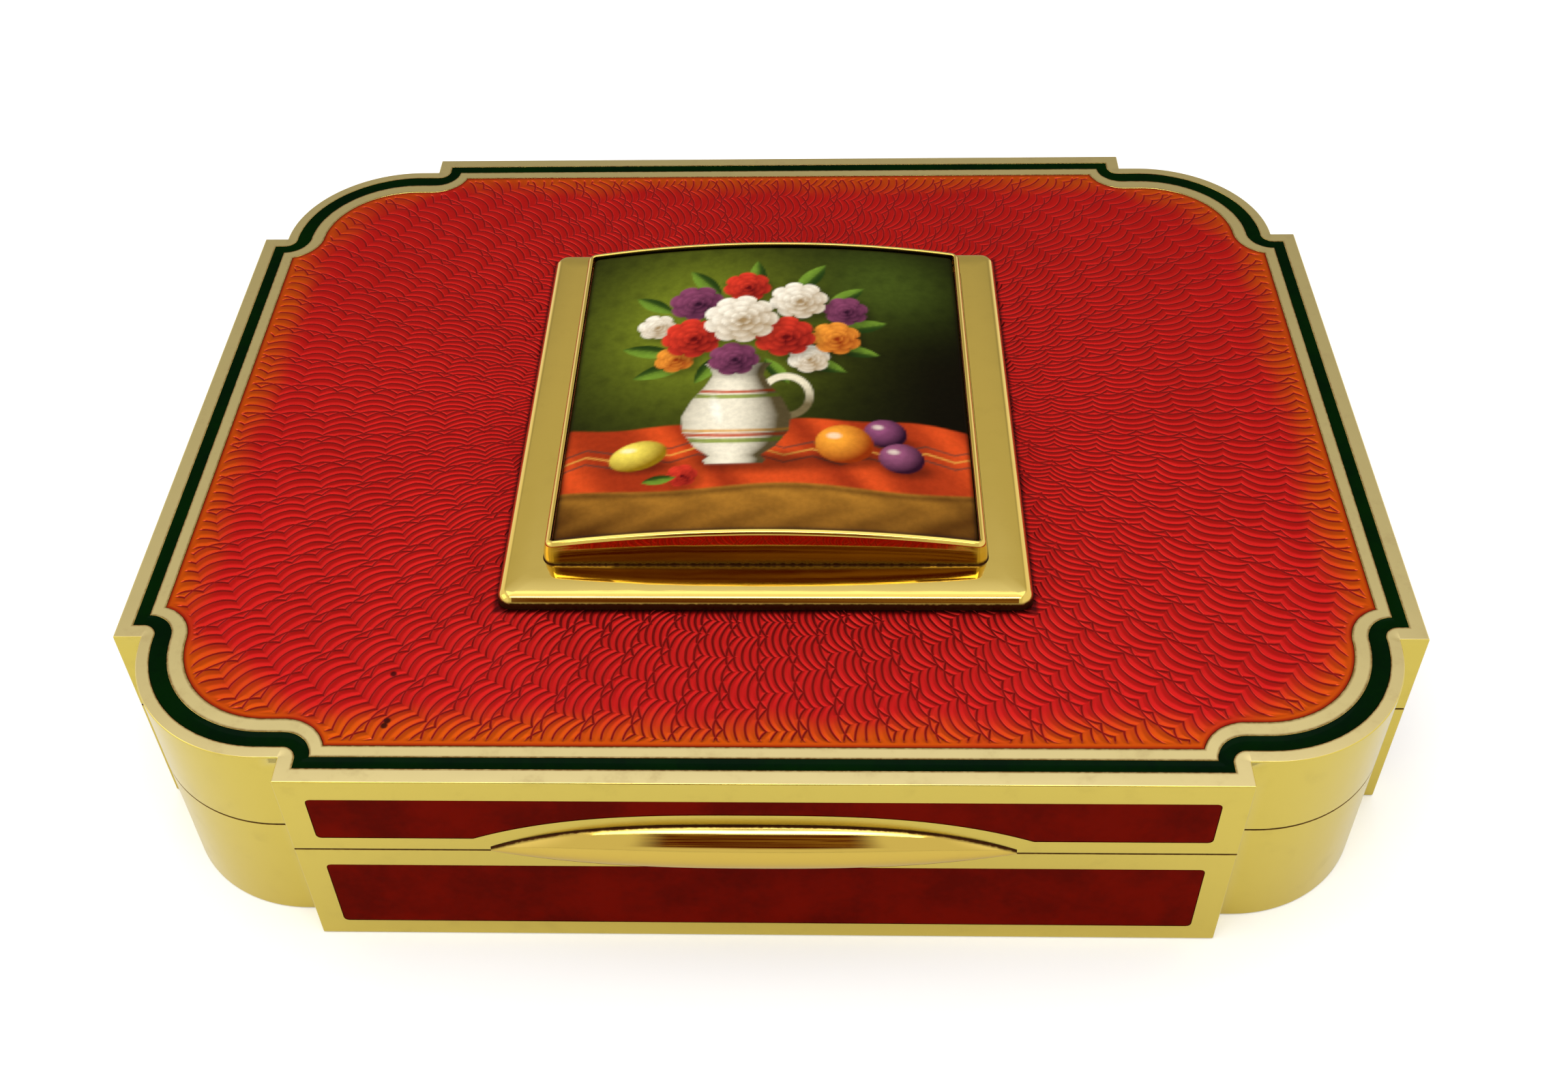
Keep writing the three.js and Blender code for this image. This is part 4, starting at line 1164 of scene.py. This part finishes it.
class BOX_OT_plaque(bpy.types.Operator):
    """Builds the arched enamel plaque and paints it"""

    bl_idname = "table_box.plaque"
    bl_label = "Plaque"

    def execute(self, context):
        s = sizes()
        low, high = PLAQUE
        half_x, half_y = high.x - 0.1, (high.y - low.y) / 2 - 0.1
        thickness, corner, fall = 1.08, 0.7, 0.3
        columns, rows = 196, 222
        across, along = np.meshgrid(np.linspace(-1, 1, columns + 1), np.linspace(-1, 1, rows + 1))
        x, y = across.ravel() * half_x, along.ravel() * half_y
        edge = np.minimum(half_x - np.abs(x), half_y - np.abs(y))
        u = np.clip((np.abs(x) - half_x + corner) / corner, 0, 1)
        v = np.clip((np.abs(y) - half_y + corner) / corner, 0, 1)
        both = (u > 0) & (v > 0)
        x = np.where(both, np.sign(x) * (half_x - corner + corner * u * np.sqrt(1 - v * v / 2)), x)
        y = np.where(both, np.sign(y) * (half_y - corner + corner * v * np.sqrt(1 - u * u / 2)), y)
        crown = high.z - s.arch_rise
        arch = np.array([arch_over(s, px) for px in x])
        z = crown + arch - 0.12 * np.clip(1 - edge / fall, 0, 1) ** 2
        points = np.column_stack([x, y + BEZEL_Y, z])
        stride = columns + 1
        faces = [
            (r * stride + c, r * stride + c + 1, (r + 1) * stride + c + 1, (r + 1) * stride + c)
            for r in range(rows)
            for c in range(columns)
        ]
        # The rim of the grid, anticlockwise, and the same points on the underside
        rim = list(range(columns))
        rim += [r * stride + columns for r in range(rows)]
        rim += [rows * stride + c for c in range(columns, 0, -1)]
        rim += [r * stride for r in range(rows, 0, -1)]
        under = points[rim] - [0, 0, thickness]
        first = len(points)
        count = len(rim)
        faces += [(rim[(i + 1) % count], rim[i], first + i, first + (i + 1) % count) for i in range(count)]
        front = [first + c for c in range(columns + 1)]
        back = [first + columns + rows + (columns - c) for c in range(columns + 1)]
        right = [first + columns + r for r in range(rows + 1)]
        left = [first + (2 * columns + rows + (rows - r)) % count for r in range(rows + 1)]
        faces.append((*left, back[1], front[1]))
        faces.append((*reversed(right), front[-2], back[-2]))
        faces += [(front[c], back[c], back[c + 1], front[c + 1]) for c in range(1, columns - 1)]
        paint = still_life(x, y)
        # A dark band of painted shade round the edge of the painting, where the plaque meets the bezel
        lay(paint, paint_tone("#120A04"), 0.85 * soft_cover(edge - 0.25, 0.35))
        paint = np.vstack([paint, np.tile(paint_tone("#2A1A10"), (count, 1))])
        colours = np.column_stack([np.clip(paint, 0, 1), np.ones(len(paint))])
        plaque = solid("painted_plaque", (np.vstack([points, under]).tolist(), faces), {"painting": colours})
        fitted(plaque, "lid", "painted_enamel", ["plaque"], material_of("painted"))
        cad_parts["plaque_packing"].material_slots[0].material = material_of("copper")
        return {"FINISHED"}


class BOX_OT_hinge(bpy.types.Operator):
    """Builds the hinge: nine knuckles, the pin and a bearer on each half"""

    bl_idname = "table_box.hinge"
    bl_label = "Hinge"

    def execute(self, context):
        s = sizes()
        radius, bevel, bore = s.knuckle_radius, 0.1, s.pin_radius + 0.08
        for part, count in (("base", 5), ("lid", 4)):
            for number in range(1, count + 1):
                node = f"{part}_knuckle_{number}"
                low, high = corners(node)
                profile = [
                    (low.x, bore), (low.x, radius - bevel), (low.x + bevel, radius),
                    (high.x - bevel, radius), (high.x, radius - bevel), (high.x, bore),
                ]
                rings = about_pin(s, profile)
                knuckle = solid(f"{part}_hinge_knuckle_{number}", skin(rings, joined=True))
                fitted(knuckle, part, "gilt", [node], material_of("gilt"))
        low = corners("hinge_pin")[0]
        ends = [(low.x, 0.35), (low.x + 0.12, 0.54), (low.x + 0.3, s.pin_radius)]
        profile = ends + [(-x, r) for x, r in reversed(ends)]
        wire = solid("hinge_wire", skin(about_pin(s, profile, PIN_STEPS)))
        fitted(wire, "base", "gilt", ["hinge_pin"], material_of("gilt"))
        for part in ("base", "lid"):
            low, high = corners(f"{part}_hinge_bearer")
            section = rounded_rectangle((high.y - low.y) / 2, (high.z - low.z) / 2, 0.2)
            centre = (low + high) / 2
            rings = [[(x, centre.y + b, centre.z + c) for b, c in section] for x in (low.x, high.x)]
            bar = changed(solid(f"{part}_hinge_bar", skin(rings)), [cove_cutter(s)])
            fitted(bar, part, "gilt_inside", [f"{part}_hinge_bearer"], material_of("inside"))
        return {"FINISHED"}


class BOX_OT_inside(bpy.types.Operator):
    """Builds the floor, the inner rim that the lid closes over and the lining of the lid"""

    bl_idname = "table_box.inside"
    bl_label = "Inside"

    def execute(self, context):
        s = sizes()
        gap, soft = 0.05, 0.12
        edge = s.wall + gap
        thick = s.floor_thickness
        profile = [(edge + soft, 0), (edge, soft), (edge, thick - soft), (edge + soft, thick)]
        floor = solid("floor_plate", skin([at_height(outline(s, i), z) for i, z in profile]))
        fitted(floor, "base", "gilt_inside", ["base_floor"], material_of("inside"))

        low, high = corners("inner_rim")
        outer, inner, lip = s.wall + 0.2, s.wall + 1.0, 0.28
        profile = [(outer, low.z), (outer, high.z - 0.5)]
        profile += [(outer + 0.12, high.z - 0.2)]
        profile += arc(outer + 0.4, high.z - lip, lip, 150, 30, 6)
        profile += [(inner, high.z - 0.5), (inner, low.z)]
        rim = solid("closing_rim", skin([at_height(outline(s, i), z) for i, z in profile], joined=True))
        end = s.panel_half + 1.2
        back = s.plan_depth / 2
        plan = ((-end, s.side_half), (end, s.side_half), (end, back), (-end, back))
        box = [at_height(plan, z) for z in (0.2, 17.1)]
        changed(rim, [solid("gap", skin(box))])
        fitted(rim, "base", "gilt_inside", ["inner_rim"], material_of("inside"))

        low, high = corners("lid_lining")
        tray = low.z + 0.6
        profile = [
            (edge + soft, low.z), (edge, low.z + soft), (edge, high.z),
            (edge + 0.8, high.z), (edge + 0.8, tray),
        ]
        lining = solid("lining_tray", skin([at_height(outline(s, i), z) for i, z in profile]))
        fitted(lining, "lid", "gilt_inside", ["lid_lining"], material_of("inside"))
        return {"FINISHED"}


# The camera of the photograph, from a fit to the edges round the lid: place in millimetres, angles in
# degrees, and how far the picture's middle lies off the lens's, as a share of its width
CAMERA_PLACE = (5.231, -148.0331, 153.7863)
CAMERA_ANGLES = (45.682213, 1.289743, 1.312949)
CAMERA_LENS = 39.9543
CAMERA_SHIFT = (0.015017, -0.019112)

# Soft lamps: name, place and size in millimetres, power in watts
LAMPS = (
    ("overhead softbox", (0, 185, 900), (920, 690), 2.3),
    ("front softbox", (-10, -315, 880), (760, 210), 2.5),
    ("left fill", (-800, -120, 520), (500, 500), 1.0),
)
WORLD_LEVEL = 0.64

# What polished metal sees of the room: linear brightness, and the two tones of its dim end
REAR_WALL = (1.2, 1.3, 2.0, 1)
SIDE_WINDOWS = (1.3, 1.3, 1.5, 1)
CEILING = (0.5, 0.55, 0.9, 1)
FRONT_SKYLIGHT = (4.2, 4.8, 10.0, 1)
ROOM_DARK, ROOM_LIGHT = "#5E1A0C", "#A8804C"


def build_world():
    """A white studio. Polished metal sees a dimmer rear wall, bright windows at the sides, a skylight,
    and the dim warm end of the room in front."""
    world = bpy.data.worlds.new("white studio")
    world.use_nodes = True
    tree = world.node_tree
    tree.nodes.clear()
    way = add(tree, "ShaderNodeTexCoord").outputs["Generated"]
    path = add(tree, "ShaderNodeLightPath")
    height = add(tree, "ShaderNodeSeparateXYZ", [way]).outputs["Z"]
    back = add(tree, "ShaderNodeSeparateXYZ", [way]).outputs["Y"]
    # Behind the box it is grey and gets lighter, and cooler, with height
    grey = add(tree, "ShaderNodeMapRange", [height, 0.5, 0.66, 0.53, 0.76], **SMOOTH)
    raised = add(tree, "ShaderNodeMapRange", [height, 0.66, 0.84], **SMOOTH)
    rear = add(tree, "ShaderNodeMix", {0: raised, 6: grey, 7: REAR_WALL}, **TINTS).outputs[2]
    behind = add(tree, "ShaderNodeMapRange", [back, -0.1, 0.2], **SMOOTH)
    sky = add(tree, "ShaderNodeMix", {0: behind, 6: (1, 1, 1, 1), 7: rear}, **TINTS).outputs[2]
    # Windows at both sides
    sideways = add(tree, "ShaderNodeSeparateXYZ", [way]).outputs["X"]
    aside = add(tree, "ShaderNodeMath", [sideways], operation="ABSOLUTE")
    windows = add(tree, "ShaderNodeMapRange", [aside, 0.42, 0.6], **SMOOTH)
    sky = add(tree, "ShaderNodeMix", {0: windows, 6: sky, 7: SIDE_WINDOWS}, **TINTS).outputs[2]
    # A skylight overhead, dim behind the lamps and bright in front of them
    skylight = add(tree, "ShaderNodeMapRange", [height, 0.91, 0.96], **SMOOTH)
    forward = add(tree, "ShaderNodeMapRange", [back, -0.19, -0.29], **SMOOTH)
    fill = {0: forward, 6: CEILING, 7: FRONT_SKYLIGHT}
    overhead = add(tree, "ShaderNodeMix", fill, **TINTS).outputs[2]
    sky = add(tree, "ShaderNodeMix", {0: skylight, 6: sky, 7: overhead}, **TINTS).outputs[2]
    # The dim end: a band from low over the front up to the camera, as wide as a person stands
    ahead = add(tree, "ShaderNodeMapRange", [back, -0.25, -0.4], **SMOOTH)
    above = add(tree, "ShaderNodeMapRange", [height, 0.92, 0.88], **SMOOTH)
    below = add(tree, "ShaderNodeMapRange", [height, 0.16, 0.3], **SMOOTH)
    off_middle = add(tree, "ShaderNodeMath", [sideways, 0.02], operation="ADD")
    off_middle = add(tree, "ShaderNodeMath", [off_middle], operation="ABSOLUTE")
    wide = add(tree, "ShaderNodeMapRange", [off_middle, 0.25, 0.14], **SMOOTH)
    dim = add(tree, "ShaderNodeMath", [above, below], operation="MULTIPLY")
    dim = add(tree, "ShaderNodeMath", [dim, ahead], operation="MULTIPLY")
    dim = add(tree, "ShaderNodeMath", [dim, wide], operation="MULTIPLY")
    drawn_out = add(tree, "ShaderNodeVectorMath", [way, (1.4, 1.0, 6.0)], operation="MULTIPLY")
    things = add(tree, "ShaderNodeTexNoise", {"Vector": drawn_out, "Scale": 3.0, "Detail": 2.0})
    lit = add(tree, "ShaderNodeMapRange", [things, 0.42, 0.66], **SMOOTH)
    fill = {0: lit, 6: linear(ROOM_DARK), 7: linear(ROOM_LIGHT)}
    warm = add(tree, "ShaderNodeMix", fill, **TINTS).outputs[2]
    seen = add(tree, "ShaderNodeMix", {0: dim, 6: sky, 7: warm}, **TINTS).outputs[2]
    reflected = add(tree, "ShaderNodeBackground", [seen, 1.0])
    white = add(tree, "ShaderNodeBackground", [(1, 1, 1, 1), 1.0])
    light = add(tree, "ShaderNodeBackground", [(1, 1, 1, 1), WORLD_LEVEL])
    direct = [path.outputs["Is Camera Ray"], path.outputs["Is Transmission Ray"]]
    through = add(tree, "ShaderNodeMath", direct, operation="MAXIMUM")
    first = add(tree, "ShaderNodeMixShader", [path.outputs["Is Glossy Ray"], light, reflected])
    last = add(tree, "ShaderNodeMixShader", [through, first, white])
    add(tree, "ShaderNodeOutputWorld", {"Surface": last})
    bpy.context.scene.world = world


def floor_board():
    """Matt white board: near white, so that it shows the shadow of the box and little else."""
    colours = bpy.context.scene.box_colours
    material, tree, place = new_material("matt white board")
    grain = add(tree, "ShaderNodeTexNoise", {"Vector": place, "Scale": 1 / 2.5, "Detail": 3.0})
    specks = add(tree, "ShaderNodeMapRange", [grain, 0.3, 0.7, 0.0, 0.03], **SMOOTH)
    fill = {0: specks, 6: colours.floor[:], 7: colours.floor_grain[:]}
    colour = add(tree, "ShaderNodeMix", fill, **TINTS).outputs[2]
    # Away from the box the board is lifted to white, for the camera alone
    seen = add(tree, "ShaderNodeLightPath").outputs["Is Camera Ray"]
    far = add(tree, "ShaderNodeVectorMath", [place], operation="LENGTH").outputs["Value"]
    lift = add(tree, "ShaderNodeMapRange", [far, 120, 600, 0.18, 0.5], **SMOOTH)
    fill = {
        "Base Color": colour,
        "Roughness": 0.8,
        "Specular IOR Level": 0.1,
        "Emission Color": (1, 1, 1, 1),
        "Emission Strength": add(tree, "ShaderNodeMath", [seen, lift], operation="MULTIPLY"),
    }
    shader = add(tree, "ShaderNodeBsdfPrincipled", fill)
    add(tree, "ShaderNodeOutputMaterial", {"Surface": shader})
    return material


class BOX_OT_stage(bpy.types.Operator):
    """Sets up the floor, the lamps, the white surroundings and the camera of the photograph"""

    bl_idname = "table_box.stage"
    bl_label = "Stage"

    def execute(self, context):
        scene = context.scene
        half, corner, thick, gap = 2500, 400, 10, 0.02  # the gap keeps the floor clear of the box
        rings = [at_height(rounded_rectangle(half, half, corner), z) for z in (-thick, -gap)]
        floor = solid("floor_board", skin(rings))
        floor.data.materials.append(floor_board())
        build_world()
        for name, place, size, power in LAMPS:
            light = bpy.data.lights.new(name, "AREA")
            light.shape = "RECTANGLE"
            light.size, light.size_y = size[0] * MM, size[1] * MM
            light.energy = power
            lamp = bpy.data.objects.new(name, light)
            lamp.location = Vector(place) * MM
            lamp.rotation_euler = (-lamp.location).to_track_quat("-Z", "Y").to_euler()
            scene.collection.objects.link(lamp)
        camera = bpy.data.objects.new("camera", bpy.data.cameras.new("camera"))
        camera.data.lens = CAMERA_LENS
        camera.data.shift_x, camera.data.shift_y = CAMERA_SHIFT
        camera.data.clip_start = 5 * MM
        camera.location = Vector(CAMERA_PLACE) * MM
        camera.rotation_euler = [math.radians(a) for a in CAMERA_ANGLES]
        scene.collection.objects.link(camera)
        scene.camera = camera
        scene.view_settings.view_transform = "Standard"
        return {"FINISHED"}


OPERATORS = (
    BOX_OT_stage,
    BOX_OT_walls,
    BOX_OT_side_enamels,
    BOX_OT_lid_top,
    BOX_OT_top_enamels,
    BOX_OT_thumb_piece,
    BOX_OT_mount,
    BOX_OT_bezel,
    BOX_OT_plaque,
    BOX_OT_hinge,
    BOX_OT_inside,
)


class BOX_PT_panel(bpy.types.Panel):
    """The table box in the sidebar"""

    bl_idname = "BOX_PT_panel"
    bl_label = "Table box"
    bl_space_type = "VIEW_3D"
    bl_region_type = "UI"
    bl_category = "Table box"

    def draw(self, context):
        for group in (context.scene.box_sizes, context.scene.box_turning, context.scene.box_colours):
            box = self.layout.box()
            for key in type(group).__annotations__:
                box.prop(group, key)
        for operator in OPERATORS:
            self.layout.operator(operator.bl_idname)


GROUPS = {"box_sizes": BoxSizes, "box_turning": TurningSettings, "box_colours": BoxColours}


def register():
    for kind in (*GROUPS.values(), *OPERATORS, BOX_PT_panel):
        bpy.utils.register_class(kind)
    for key, kind in GROUPS.items():
        setattr(bpy.types.Scene, key, bpy.props.PointerProperty(type=kind))


def unregister():
    for key in GROUPS:
        delattr(bpy.types.Scene, key)
    for kind in reversed((*GROUPS.values(), *OPERATORS, BOX_PT_panel)):
        bpy.utils.unregister_class(kind)


def main():
    register()
    for operator in OPERATORS:
        group, name = operator.bl_idname.split(".")
        getattr(getattr(bpy.ops, group), name)()


if __name__ == "__main__":
    main()
